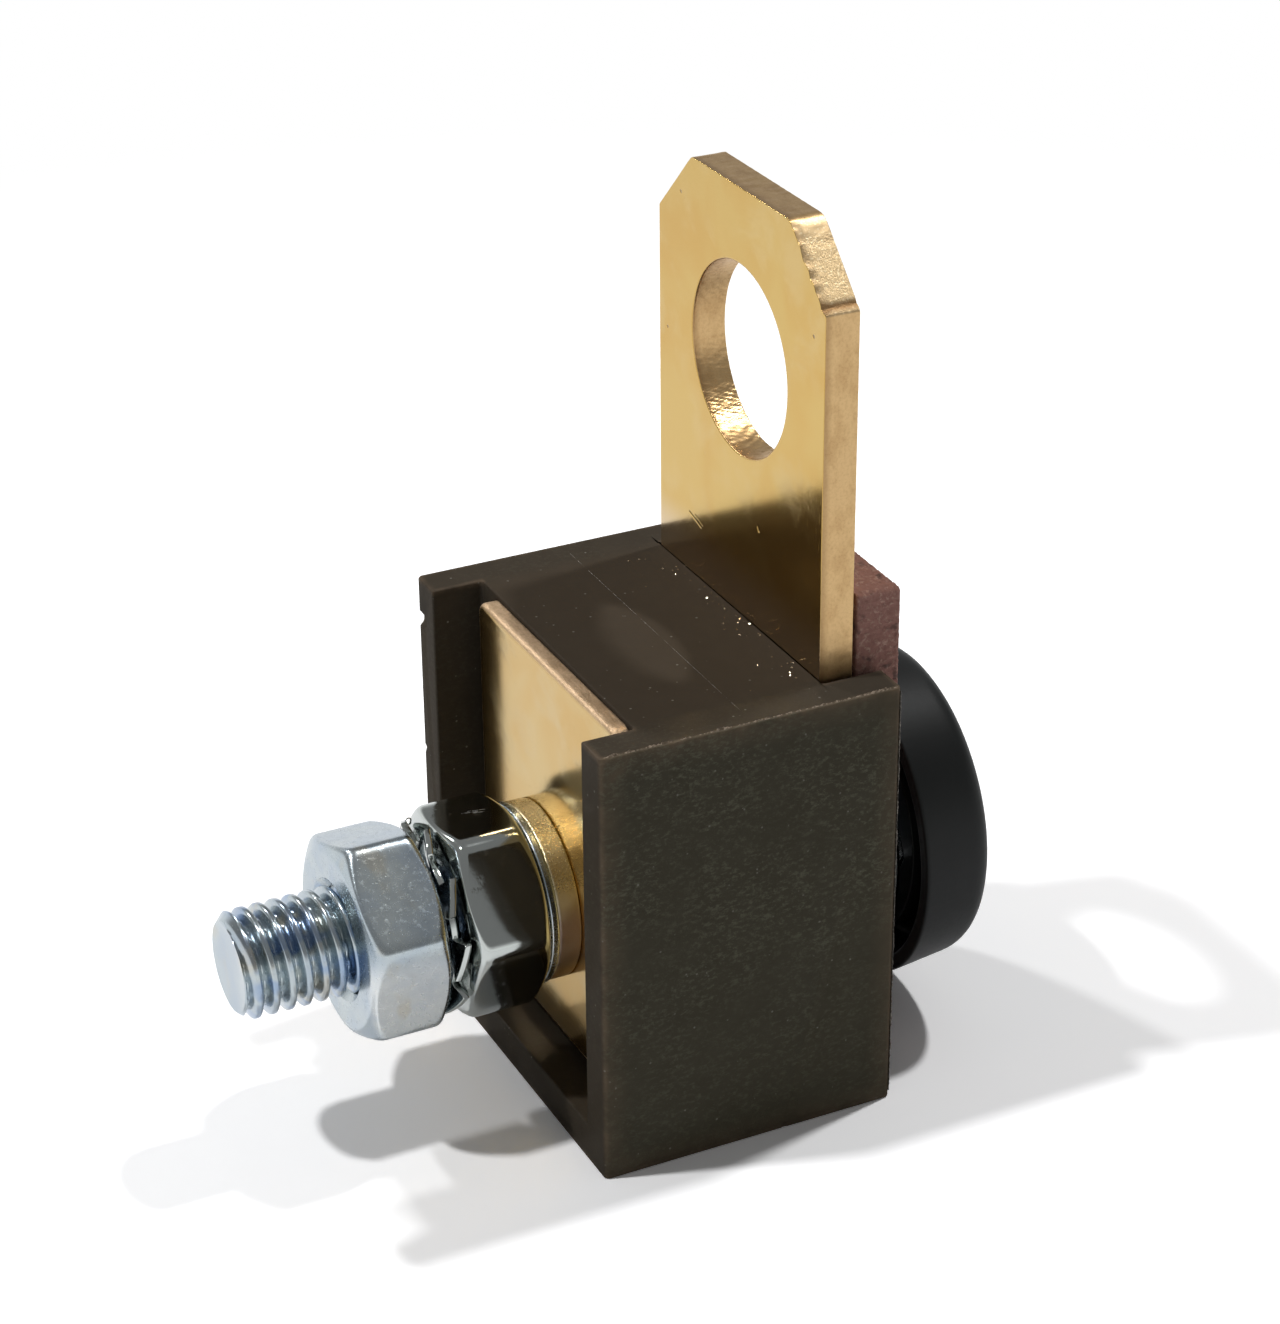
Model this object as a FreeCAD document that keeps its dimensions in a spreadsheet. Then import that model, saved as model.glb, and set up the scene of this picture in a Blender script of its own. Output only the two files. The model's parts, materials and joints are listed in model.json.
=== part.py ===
import FreeCAD, Part
import os

import Sketcher
from FreeCAD import Placement, Rotation, Vector

# Starter fuse. Millimetres. X is across the block, Y runs along the screw from the threaded end
# (-Y) to the capped head (+Y), and Z is up. The origin is the middle of the block's bottom face.

doc = FreeCAD.newDocument("starter_fuse")

# Driving dimensions
DIMENSIONS = {
    "body_width": 24.7,
    "body_depth": 18.2,
    "body_height": 26.8,
    "wall_thickness": 2.35,
    "floor_thickness": 2.35,
    "front_pocket_depth": 3.15,
    "rear_pocket_depth": 3.7,
    "pocket_corner_radius": 0.25,
    "body_edge_radius": 0.35,
    "plate_side_gap": 0.05,
    "cavity_width": 9.0,
    "cavity_sill": 0.5,
    "cavity_roof": 2.35,
    "cavity_corner_radius": 1.5,
    "stud_height": 11.9,
    "stud_diameter": 6.25,
    "screw_length": 38.1,
    "screw_tip_chamfer": 0.6,
    "head_height": 4.0,
    "hex_across_flats": 11.11,
    "hex_corner_radius": 0.25,
    "hex_chamfer_angle": 30.0,
    "hex_face_inset": 0.1,
    "thread_clearance": 0.05,
    "thread_pitch": 0.977,
    "thread_depth": 0.6,
    "thread_land": 0.12,
    "plate_thickness": 1.05,
    "plate_left_gap": 1.6,
    "plate_foot_gap": 0.8,
    "plate_top_gap": 0.25,
    "lug_thickness": 2.05,
    "lug_foot_gap": 0.3,
    "lug_rise": 25.2,
    "lug_clip": 4.0,
    "lug_hole_diameter": 11.1,
    "lug_hole_rise": 15.3,
    "sheared_edge_radius": 0.15,
    "fibre_thickness": 2.7,
    "fibre_rise": 4.6,
    "sleeve_wall": 0.9,
    "sleeve_gap": 0.1,
    "sleeve_flange_thickness": 0.25,
    "sleeve_flange_diameter": 12.0,
    "washer_bore_gap": 0.15,
    "head_washer_diameter": 15.9,
    "head_washer_thickness": 1.6,
    "collar_diameter": 10.5,
    "collar_thickness": 1.4,
    "thin_washer_diameter": 10.7,
    "thin_washer_thickness": 0.5,
    "washer_edge_radius": 0.12,
    "nut_thickness": 4.8,
    "clamp_nut_turn": 5.0,
    "cable_nut_turn": 19.0,
    "nut_mouth_chamfer": 0.35,
    "lock_washer_gap": 1.25,
    "lock_ring_thickness": 0.6,
    "lock_ring_diameter": 9.0,
    "lock_tooth_count": 9,
    "lock_tooth_reach": 1.1,
    "lock_tooth_bite": 0.15,
    "lock_tooth_thickness": 0.48,
    "lock_tooth_width": 1.55,
    "lock_tooth_twist": 28.0,
    "cap_rim_diameter": 20.0,
    "cap_rear_diameter": 19.0,
    "cap_depth": 4.7,
    "cap_back_thickness": 1.3,
    "cap_rim_wall": 0.9,
    "cap_rear_radius": 1.3,
    "cap_grip_wall": 1.0,
    "cap_grip_gap": 0.05,
    "cap_grip_depth": 2.9,
    "link_thickness": 0.8,
    "link_width": 5.0,
    "link_end_gap": 0.8,
    "link_neck": 2.0,
}

sheet = doc.addObject("Spreadsheet::Sheet", "Sizes")
for row, (alias, length) in enumerate(DIMENSIONS.items(), start=1):
    sheet.set(f"A{row}", alias)
    sheet.set(f"B{row}", str(length))
    sheet.setAlias(f"B{row}", alias)
doc.recompute()


def size(alias):
    """A driving dimension, written for an expression."""
    return f"Sizes.{alias}"


def number(expression):
    """The present value of an expression."""
    return float(sheet.evalExpression(expression.replace("Sizes.", "")))


# The stack along the screw, each face worked out from the one that it seats on
BLOCK_FRONT = f"(-{size('body_depth')} / 2)"
BLOCK_REAR = f"({size('body_depth')} / 2)"
WEB_FRONT = f"({BLOCK_FRONT} + {size('front_pocket_depth')})"
WEB_REAR = f"({BLOCK_REAR} - {size('rear_pocket_depth')})"
PLATE_FACE = f"({WEB_FRONT} - {size('plate_thickness')})"
COLLAR_FACE = f"({PLATE_FACE} - {size('collar_thickness')})"
THIN_WASHER_FACE = f"({COLLAR_FACE} - {size('thin_washer_thickness')})"
CLAMP_NUT_FACE = f"({THIN_WASHER_FACE} - {size('nut_thickness')})"
CABLE_NUT_SEAT = f"({CLAMP_NUT_FACE} - {size('lock_washer_gap')})"
CABLE_NUT_FACE = f"({CABLE_NUT_SEAT} - {size('nut_thickness')})"
LUG_REAR = f"({WEB_REAR} + {size('lug_thickness')})"
FIBRE_FRONT = f"({LUG_REAR} + {size('sleeve_flange_thickness')})"
FIBRE_REAR = f"({FIBRE_FRONT} + {size('fibre_thickness')})"
HEAD_SEAT = f"({FIBRE_REAR} + {size('head_washer_thickness')})"
HEAD_REAR = f"({HEAD_SEAT} + {size('head_height')})"

# Across the block: the pockets' inner walls, and how far a flat plate may reach beside their rounded corners
POCKET_HALF = f"({size('body_width')} / 2 - {size('wall_thickness')})"
PLATE_HALF = f"({POCKET_HALF} - {size('pocket_corner_radius')} - {size('plate_side_gap')})"

# Holes that several pieces share
SCREW_RADIUS = f"({size('stud_diameter')} / 2)"
NUT_BORE_RADIUS = f"({SCREW_RADIUS} + {size('thread_clearance')})"
WASHER_BORE_RADIUS = f"({SCREW_RADIUS} + {size('washer_bore_gap')})"
SLEEVE_RADIUS = f"({SCREW_RADIUS} + {size('sleeve_gap')} + {size('sleeve_wall')})"
SLEEVE_BORE_RADIUS = f"({SLEEVE_RADIUS} + {size('sleeve_gap')})"

# The cavity through the web, between the screw's bore and the block's top
CAVITY_LOW = f"({size('stud_height')} + {SLEEVE_BORE_RADIUS} + {size('cavity_sill')})"
CAVITY_HIGH = f"({size('body_height')} - {size('cavity_roof')})"


def new_body(name):
    body = doc.addObject("PartDesign::Body", name)
    body.Label = name
    return body


def origin_plane(body, role):
    return next(item for item in body.Origin.OriginFeatures if item.Role == role)


def new_sketch(body, name, role, offset=None):
    """A sketch on one of the body's own planes, moved along the plane's normal by an expression."""
    sketch = body.newObject("Sketcher::SketchObject", name)
    sketch.AttachmentSupport = [(origin_plane(body, role), "")]
    sketch.MapMode = "FlatFace"
    if offset:
        sketch.setExpression("AttachmentOffset.Base.z", offset)
    return sketch


def bind(sketch, kind, references, expression):
    """A dimension of the sketch whose value is an expression."""
    index = sketch.addConstraint(Sketcher.Constraint(kind, *references, number(expression)))
    sketch.setExpression(f"Constraints[{index}]", expression)


def add_outline(sketch, corners):
    """A closed outline of straight lines through corners, given as pairs of expressions."""
    first = sketch.GeometryCount
    count = len(corners)
    points = [Vector(number(across), number(up), 0) for across, up in corners]
    for index in range(count):
        sketch.addGeometry(Part.LineSegment(points[index], points[(index + 1) % count]), False)
    for index in range(count):
        following = first + (index + 1) % count
        sketch.addConstraint(Sketcher.Constraint("Coincident", first + index, 2, following, 1))
    for index, (across, up) in enumerate(corners):
        bind(sketch, "DistanceX", (-1, 1, first + index, 1), across)
        bind(sketch, "DistanceY", (-1, 1, first + index, 1), up)


def add_box(sketch, left, bottom, right, top):
    add_outline(sketch, [(left, bottom), (right, bottom), (right, top), (left, top)])


def add_circle(sketch, across, up, radius):
    centre = Vector(number(across), number(up), 0)
    index = sketch.addGeometry(Part.Circle(centre, Vector(0, 0, 1), number(radius)), False)
    bind(sketch, "DistanceX", (-1, 1, index, 3), across)
    bind(sketch, "DistanceY", (-1, 1, index, 3), up)
    bind(sketch, "Radius", (index,), radius)


def add_hexagon(sketch, across_flats, turn="0"):
    """A hexagon about the origin, with a corner turned from the first axis by turn degrees."""
    radius = f"({across_flats} / sqrt(3))"
    corners = []
    for step in range(6):
        angle = f"({turn} + {60 * step}) * 1deg"
        corners.append((f"{radius} * cos({angle})", f"{radius} * sin({angle})"))
    add_outline(sketch, corners)


def pad(body, name, sketch, length, reverse=False):
    feature = body.newObject("PartDesign::Pad", name)
    feature.Profile = sketch
    feature.setExpression("Length", length)
    feature.Reversed = reverse
    doc.recompute()
    return feature


def pocket(body, name, sketch, length=None, reverse=False):
    """Cuts away from the sketch by a length, or right through when none is given."""
    before = body.Shape.Volume
    feature = body.newObject("PartDesign::Pocket", name)
    feature.Profile = sketch
    if length:
        feature.setExpression("Length", length)
    else:
        feature.Type = 1
    feature.Reversed = reverse
    doc.recompute()
    assert body.Shape.Volume < before - 1e-6, f"{body.Label} {name} cuts nothing"
    return feature


def turned(body, name, sketch, kind="PartDesign::Revolution"):
    """Turns a sketch about its own upright axis."""
    before = body.Shape.Volume if body.Shape.Solids else None
    feature = body.newObject(kind, name)
    feature.Profile = sketch
    feature.ReferenceAxis = (sketch, ["V_Axis"])
    feature.Angle = 360.0
    doc.recompute()
    if kind == "PartDesign::Groove":
        assert body.Shape.Volume < before - 1e-6, f"{body.Label} {name} cuts nothing"
    return feature


def near(value, target):
    return abs(value - target) < 1e-4


def edges_along(feature, axis, **lines):
    """Names of the straight edges along an axis whose other coordinates are among those given."""
    wanted = {other: [number(place) for place in places] for other, places in lines.items()}
    names = []
    for index, edge in enumerate(feature.Shape.Edges, start=1):
        if edge.Curve.TypeId != "Part::GeomLine" or not near(abs(getattr(edge.Curve.Direction, axis)), 1):
            continue
        point = edge.Vertexes[0].Point
        if all(any(near(getattr(point, other), place) for place in places) for other, places in wanted.items()):
            names.append(f"Edge{index}")
    return names


def rims_of(feature, radius):
    """Names of the circular edges of one radius."""
    names = []
    for index, edge in enumerate(feature.Shape.Edges, start=1):
        if edge.Curve.TypeId == "Part::GeomCircle" and near(edge.Curve.Radius, number(radius)):
            names.append(f"Edge{index}")
    return names


def dress(body, kind, name, base, edges, measure, expression):
    """Rounds or chamfers the named edges of a feature."""
    feature = body.newObject(kind, name)
    feature.Base = (base, edges)
    feature.setExpression(measure, expression)
    doc.recompute()
    return feature


def place_on_stud(body, seat):
    """Stands a body's own +Z along the screw towards the threaded end, from a seat."""
    body.Placement = Placement(Vector(0, number(seat), number(size("stud_height"))), Rotation(Vector(1, 0, 0), 90))
    body.setExpression(".Placement.Base.y", seat)
    body.setExpression(".Placement.Base.z", size("stud_height"))
    doc.recompute()


def make_fuse_body():
    """Moulded block: a front and a rear pocket open at the top, with a web and a floor between."""
    body = new_body("fuse_body")
    half = f"{size('body_width')} / 2"
    inner = POCKET_HALF
    top = size("body_height")
    plan = new_sketch(body, "block_plan", "XY_Plane")
    add_box(plan, f"-{half}", BLOCK_FRONT, half, BLOCK_REAR)
    block = pad(body, "block", plan, top)
    uprights = edges_along(block, "z", x=[f"-{half}", half], y=[BLOCK_FRONT, BLOCK_REAR])
    dress(body, "PartDesign::Fillet", "block_edges", block, uprights, "Radius", size("body_edge_radius"))

    front = new_sketch(body, "front_pocket_outline", "XZ_Plane", f"-{BLOCK_FRONT}")
    add_box(front, f"-{inner}", size("floor_thickness"), inner, top)
    pocket(body, "front_pocket", front, size("front_pocket_depth"))
    rear = new_sketch(body, "rear_pocket_outline", "XZ_Plane", f"-{BLOCK_REAR}")
    add_box(rear, f"-{inner}", size("floor_thickness"), inner, top)
    last = pocket(body, "rear_pocket", rear, size("rear_pocket_depth"), reverse=True)

    corners = edges_along(last, "z", x=[f"-{inner}", inner], y=[WEB_FRONT, WEB_REAR])
    dress(body, "PartDesign::Fillet", "pocket_corners", last, corners, "Radius", size("pocket_corner_radius"))

    bore = new_sketch(body, "stud_bore_outline", "XZ_Plane", f"-{BLOCK_FRONT}")
    add_circle(bore, "0", size("stud_height"), SLEEVE_BORE_RADIUS)
    pocket(body, "stud_bore", bore)

    cavity = new_sketch(body, "link_cavity_outline", "XZ_Plane", f"-{BLOCK_FRONT}")
    cavity_half = f"{size('cavity_width')} / 2"
    add_box(cavity, f"-{cavity_half}", CAVITY_LOW, cavity_half, CAVITY_HIGH)
    cut = pocket(body, "link_cavity", cavity)
    rounds = edges_along(cut, "y", x=[f"-{cavity_half}", cavity_half], z=[CAVITY_LOW, CAVITY_HIGH])
    dress(body, "PartDesign::Fillet", "cavity_corners", cut, rounds, "Radius", size("cavity_corner_radius"))
    return body


def round_sheared_edges(body, base, radius):
    """Rounds the long straight edges of a blanked plate a little, as the shears leave them."""
    front = min(vertex.Point.y for vertex in base.Shape.Vertexes)
    edges = []
    for index, edge in enumerate(base.Shape.Edges, start=1):
        in_front = all(near(vertex.Point.y, front) for vertex in edge.Vertexes)
        if in_front and edge.Curve.TypeId == "Part::GeomLine":
            edges.append(f"Edge{index}")
    dress(body, "PartDesign::Fillet", "sheared_edges", base, edges, "Radius", radius)


def make_contact_plate():
    """Brass plate in the front pocket, flat on the web, with the screw through it."""
    body = new_body("contact_plate")
    outline = new_sketch(body, "plate_outline", "XZ_Plane", f"-{WEB_FRONT}")
    left = f"(-{POCKET_HALF} + {size('plate_left_gap')})"
    bottom = f"({size('floor_thickness')} + {size('plate_foot_gap')})"
    add_box(outline, left, bottom, PLATE_HALF, f"{size('body_height')} - {size('plate_top_gap')}")
    add_circle(outline, "0", size("stud_height"), WASHER_BORE_RADIUS)
    blank = pad(body, "plate", outline, size("plate_thickness"))
    round_sheared_edges(body, blank, size("sheared_edge_radius"))
    return body


def make_terminal_lug():
    """Brass blade in the rear pocket: clipped top corners, cable hole, and a hole for the sleeve."""
    body = new_body("terminal_lug")
    half = PLATE_HALF
    clip = size("lug_clip")
    bottom = f"({size('floor_thickness')} + {size('lug_foot_gap')})"
    top = f"({size('body_height')} + {size('lug_rise')})"
    outline = new_sketch(body, "lug_outline", "XZ_Plane", f"-{WEB_REAR}")
    add_outline(outline, [
        (f"-{half}", bottom),
        (half, bottom),
        (half, f"{top} - {clip}"),
        (f"{half} - {clip}", top),
        (f"-{half} + {clip}", top),
        (f"-{half}", f"{top} - {clip}"),
    ])
    hole_up = f"{size('body_height')} + {size('lug_hole_rise')}"
    add_circle(outline, "0", hole_up, f"{size('lug_hole_diameter')} / 2")
    add_circle(outline, "0", size("stud_height"), SLEEVE_BORE_RADIUS)
    blank = pad(body, "lug", outline, size("lug_thickness"), reverse=True)
    round_sheared_edges(body, blank, size("sheared_edge_radius"))
    return body


def make_fibre_plate():
    """Red-brown insulating plate behind the lug, a little taller than the block."""
    body = new_body("fibre_plate")
    outline = new_sketch(body, "fibre_outline", "XZ_Plane", f"-{FIBRE_FRONT}")
    bottom = f"({size('floor_thickness')} + {size('lug_foot_gap')})"
    add_box(outline, f"-{PLATE_HALF}", bottom, PLATE_HALF, f"{size('body_height')} + {size('fibre_rise')}")
    add_circle(outline, "0", size("stud_height"), WASHER_BORE_RADIUS)
    pad(body, "fibre", outline, size("fibre_thickness"), reverse=True)
    return body


def make_fuse_link():
    """Fusible strip: a foot on the plate, a bar across the web's cavity with a neck, a foot on the lug."""
    body = new_body("fuse_link")
    thick = size("link_thickness")
    under = f"(({CAVITY_LOW} + {CAVITY_HIGH} - {thick}) / 2)"
    over = f"({under} + {thick})"
    foot_low = f"({CAVITY_LOW} + {size('link_end_gap')})"
    foot_high = f"({CAVITY_HIGH} - {size('link_end_gap')})"
    side = new_sketch(body, "link_side", "YZ_Plane")
    add_outline(side, [
        (WEB_FRONT, foot_low),
        (f"{WEB_FRONT} + {thick}", foot_low),
        (f"{WEB_FRONT} + {thick}", under),
        (WEB_REAR, under),
        (WEB_REAR, foot_high),
        (f"{WEB_REAR} - {thick}", foot_high),
        (f"{WEB_REAR} - {thick}", over),
        (WEB_FRONT, over),
    ])
    strip = pad(body, "strip", side, size("link_width"))
    strip.SideType = "Symmetric"
    doc.recompute()
    notch = new_sketch(body, "neck_notches", "XY_Plane")
    middle = f"({WEB_FRONT} + {WEB_REAR}) / 2"
    bite = f"({size('link_width')} - {size('link_neck')}) / 2"
    add_circle(notch, f"{size('link_width')} / 2", middle, bite)
    add_circle(notch, f"-{size('link_width')} / 2", middle, bite)
    cut = pocket(body, "neck", notch, None, reverse=True)
    body.Tip = cut
    return body


def make_insulating_sleeve():
    """Flanged sleeve round the screw, through the web and the lug, with its flange behind the lug."""
    body = new_body("insulating_sleeve")
    bore = f"({SCREW_RADIUS} + {size('sleeve_gap')})"
    length = f"({FIBRE_FRONT} - {WEB_FRONT} - {size('sleeve_gap')})"
    flange = size("sleeve_flange_thickness")
    profile = new_sketch(body, "sleeve_profile", "XZ_Plane")
    add_outline(profile, [
        (bore, "0"),
        (f"{size('sleeve_flange_diameter')} / 2", "0"),
        (f"{size('sleeve_flange_diameter')} / 2", flange),
        (SLEEVE_RADIUS, flange),
        (SLEEVE_RADIUS, length),
        (bore, length),
    ])
    turned(body, "sleeve", profile)
    place_on_stud(body, FIBRE_FRONT)
    return body


def make_washer(name, seat, outer, bore, thick):
    """Flat washer with both outer rims slightly rounded."""
    body = new_body(name)
    outline = new_sketch(body, "washer_outline", "XY_Plane")
    add_circle(outline, "0", "0", f"{outer} / 2")
    add_circle(outline, "0", "0", bore)
    blank = pad(body, "washer", outline, thick)
    rims = rims_of(blank, f"{outer} / 2")
    dress(body, "PartDesign::Fillet", "rims", blank, rims, "Radius", size("washer_edge_radius"))
    place_on_stud(body, seat)
    return body


def chamfer_hexagon(body, name, *ends):
    """Turns the points off a hexagon: each end is a height and the way, +1 or -1, into the metal."""
    profile = new_sketch(body, f"{name}_profile", "XZ_Plane")
    start = f"({size('hex_across_flats')} / 2 - {size('hex_face_inset')})"
    reach = f"({size('hex_across_flats')} / sqrt(3) + {size('hex_face_inset')})"
    fall = f"(({reach} - {start}) * tan({size('hex_chamfer_angle')} * 1deg))"
    for height, inwards in ends:
        add_outline(profile, [(start, height), (reach, height), (reach, f"{height} + {inwards} * {fall}")])
    return turned(body, name, profile, "PartDesign::Groove")


def make_nut(name, seat, turn):
    """Hexagon nut, chamfered at both faces, with a plain bore that clears the thread."""
    body = new_body(name)
    outline = new_sketch(body, "nut_outline", "XY_Plane")
    add_hexagon(outline, size("hex_across_flats"), turn)
    add_circle(outline, "0", "0", NUT_BORE_RADIUS)
    blank = pad(body, "nut", outline, size("nut_thickness"))
    points = edges_along(blank, "z")
    dress(body, "PartDesign::Fillet", "nut_corners", blank, points, "Radius", size("hex_corner_radius"))
    cut = chamfer_hexagon(body, "nut_chamfers", ("0", 1), (size("nut_thickness"), -1))
    mouths = rims_of(cut, NUT_BORE_RADIUS)
    dress(body, "PartDesign::Chamfer", "nut_mouths", cut, mouths, "Size", size("nut_mouth_chamfer"))
    place_on_stud(body, seat)
    return body


def cut_thread(body):
    """V grooves round the screw, a pitch apart, wherever the two nuts bear on it.

    Past the outer nut's face the free end keeps the plain cylinder of the thread's crests, which is
    what a cable's ring terminal passes over.
    """
    crest = f"({SCREW_RADIUS} + {size('thread_clearance')})"
    root = f"({SCREW_RADIUS} - {size('thread_depth')})"
    land = size("thread_land")
    flank = f"(({size('thread_pitch')} - 2 * {land}) / 2 * ({crest} - {root}) / {size('thread_depth')})"
    last = f"({HEAD_SEAT} - {CABLE_NUT_FACE})"
    middle = f"({last} - ({size('thread_pitch')} - {land}) / 2)"
    profile = new_sketch(body, "groove_profile", "XZ_Plane")
    add_outline(profile, [
        (root, f"{middle} - {land} / 2"),
        (crest, f"{middle} - {land} / 2 - {flank}"),
        (crest, f"{middle} + {land} / 2 + {flank}"),
        (root, f"{middle} + {land} / 2"),
    ])
    groove = turned(body, "thread_groove", profile, "PartDesign::Groove")
    count = f"floor(({THIN_WASHER_FACE} - {CABLE_NUT_FACE}) / {size('thread_pitch')})"
    grooves = body.newObject("PartDesign::LinearPattern", "thread_grooves")
    grooves.Originals = [groove]
    grooves.Direction = (profile, ["V_Axis"])
    grooves.Reversed = True
    grooves.setExpression("Occurrences", count)
    grooves.setExpression("Length", f"({count} - 1) * {size('thread_pitch')}")
    body.Tip = grooves
    doc.recompute()


def make_terminal_screw():
    """Hexagon screw: the head behind, the shank through the stack and the threaded end in front."""
    body = new_body("terminal_screw")
    head_outline = new_sketch(body, "head_outline", "XY_Plane")
    add_hexagon(head_outline, size("hex_across_flats"))
    pad(body, "head", head_outline, size("head_height"), reverse=True)
    chamfer_hexagon(body, "head_chamfer", (f"-{size('head_height')}", 1))
    shank_outline = new_sketch(body, "shank_outline", "XY_Plane")
    add_circle(shank_outline, "0", "0", SCREW_RADIUS)
    shank = pad(body, "shank", shank_outline, size("screw_length"))
    ends = [
        name for name in rims_of(shank, SCREW_RADIUS)
        if near(shank.Shape.getElement(name).Curve.Center.z, number(size("screw_length")))
    ]
    dress(body, "PartDesign::Chamfer", "tip", shank, ends, "Size", size("screw_tip_chamfer"))
    cut_thread(body)
    place_on_stud(body, HEAD_SEAT)
    return body


def make_lock_washer():
    """External tooth lock washer: a flat ring with teeth that twist out of its plane."""
    body = new_body("lock_washer")
    thick = size("lock_ring_thickness")
    lift = f"({size('lock_washer_gap')} - {thick}) / 2"
    ring_outline = new_sketch(body, "ring_outline", "XY_Plane", lift)
    add_circle(ring_outline, "0", "0", f"{size('lock_ring_diameter')} / 2")
    add_circle(ring_outline, "0", "0", WASHER_BORE_RADIUS)
    pad(body, "ring", ring_outline, thick)

    half_width = f"{size('lock_tooth_width')} / 2"
    root_radius = f"({size('lock_ring_diameter')} / 2 - {size('lock_tooth_bite')})"
    tip_radius = f"({size('lock_ring_diameter')} / 2 + {size('lock_tooth_reach')})"
    sections = []
    for name, radius, twist in (("tooth_root", root_radius, "0"), ("tooth_tip", tip_radius, size("lock_tooth_twist"))):
        section = new_sketch(body, name, "YZ_Plane", radius)
        angle = f"({twist} * 1deg)"
        corners = []
        for across, up in ((-1, -1), (1, -1), (1, 1), (-1, 1)):
            side = f"({across} * {half_width})"
            rise = f"({up} * {size('lock_tooth_thickness')} / 2)"
            corners.append((
                f"{side} * cos({angle}) - {rise} * sin({angle})",
                f"{side} * sin({angle}) + {rise} * cos({angle}) + {size('lock_washer_gap')} / 2",
            ))
        add_outline(section, corners)
        sections.append(section)
    doc.recompute()
    tooth = body.newObject("PartDesign::AdditiveLoft", "tooth")
    tooth.Profile = sections[0]
    tooth.Sections = [sections[1]]
    tooth.Ruled = True
    doc.recompute()
    ring_of_teeth = body.newObject("PartDesign::PolarPattern", "teeth")
    ring_of_teeth.Originals = [tooth]
    ring_of_teeth.Axis = (ring_outline, ["N_Axis"])
    ring_of_teeth.Angle = 360.0
    ring_of_teeth.setExpression("Occurrences", size("lock_tooth_count"))
    body.Tip = ring_of_teeth
    place_on_stud(body, CLAMP_NUT_FACE)
    return body


def make_screw_cap():
    """Black moulded cap: a shallow tapered cup with a grip that is pushed over the screw head."""
    body = new_body("screw_cap")
    rim = f"{size('cap_rim_diameter')} / 2"
    rear = f"{size('cap_rear_diameter')} / 2"
    depth = size("cap_depth")
    back = size("cap_back_thickness")
    wall = size("cap_rim_wall")
    profile = new_sketch(body, "cup_profile", "XZ_Plane")
    add_outline(profile, [
        ("0", "0"),
        (rear, "0"),
        (rim, depth),
        (f"{rim} - {wall}", depth),
        (f"{rear} - {wall}", back),
        ("0", back),
    ])
    cup = turned(body, "cup", profile)
    dress(body, "PartDesign::Fillet", "cup_edge", cup, rims_of(cup, rear), "Radius", size("cap_rear_radius"))
    grip_outline = new_sketch(body, "grip_outline", "XY_Plane", back)
    socket = f"({size('hex_across_flats')} + 2 * {size('cap_grip_gap')})"
    add_circle(grip_outline, "0", "0", f"{socket} / sqrt(3) + {size('cap_grip_wall')}")
    add_hexagon(grip_outline, socket)
    pad(body, "grip", grip_outline, size("cap_grip_depth"))
    place_on_stud(body, f"({HEAD_REAR} + {back})")
    return body


pieces = [
    make_fuse_body(),
    make_contact_plate(),
    make_terminal_lug(),
    make_fibre_plate(),
    make_fuse_link(),
    make_insulating_sleeve(),
    make_washer(
        "head_washer", HEAD_SEAT, size("head_washer_diameter"), WASHER_BORE_RADIUS, size("head_washer_thickness")
    ),
    make_terminal_screw(),
    make_screw_cap(),
    make_washer("brass_collar", PLATE_FACE, size("collar_diameter"), WASHER_BORE_RADIUS, size("collar_thickness")),
    make_washer(
        "thin_washer", COLLAR_FACE, size("thin_washer_diameter"), WASHER_BORE_RADIUS, size("thin_washer_thickness")
    ),
    make_nut("clamp_nut", THIN_WASHER_FACE, size("clamp_nut_turn")),
    make_lock_washer(),
    make_nut("cable_nut", CABLE_NUT_SEAT, size("cable_nut_turn")),
]
doc.recompute()

for item in doc.Objects:
    faults = [state for state in item.State if state in ("Invalid", "Error")]
    assert not faults, f"{item.Label}: {item.State}"

for piece in pieces:
    shape = piece.Shape
    assert not shape.isNull() and shape.isValid(), f"{piece.Label} has no valid shape"
    assert len(shape.Solids) == 1, f"{piece.Label} has {len(shape.Solids)} solids"

os.makedirs("parts", exist_ok=True)
for piece in pieces:
    piece.Shape.exportStep(f"parts/{piece.Label}.step")
    box = piece.Shape.BoundBox
    print(
        f"{piece.Label}: {piece.Shape.Volume:.1f} mm3, "
        f"X {box.XMin:.2f} to {box.XMax:.2f}, Y {box.YMin:.2f} to {box.YMax:.2f}, Z {box.ZMin:.2f} to {box.ZMax:.2f}"
    )
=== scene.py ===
# %% [markdown]
# # Starter fuse
# A moulded block holds a fuse link between a threaded stud in front and a tall brass blade behind.
# The solids of the part are the fixed frame. Each piece that shows is made again here as a finer
# surface in the same place, with the thread, the rounded edges and the cut metal that solids leave
# plain. Everything is written in millimetres and turned into Blender's metres when a mesh is made.

# %% The frame
import json

import bmesh
import bpy
import numpy as np
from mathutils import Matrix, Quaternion, Vector


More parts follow.
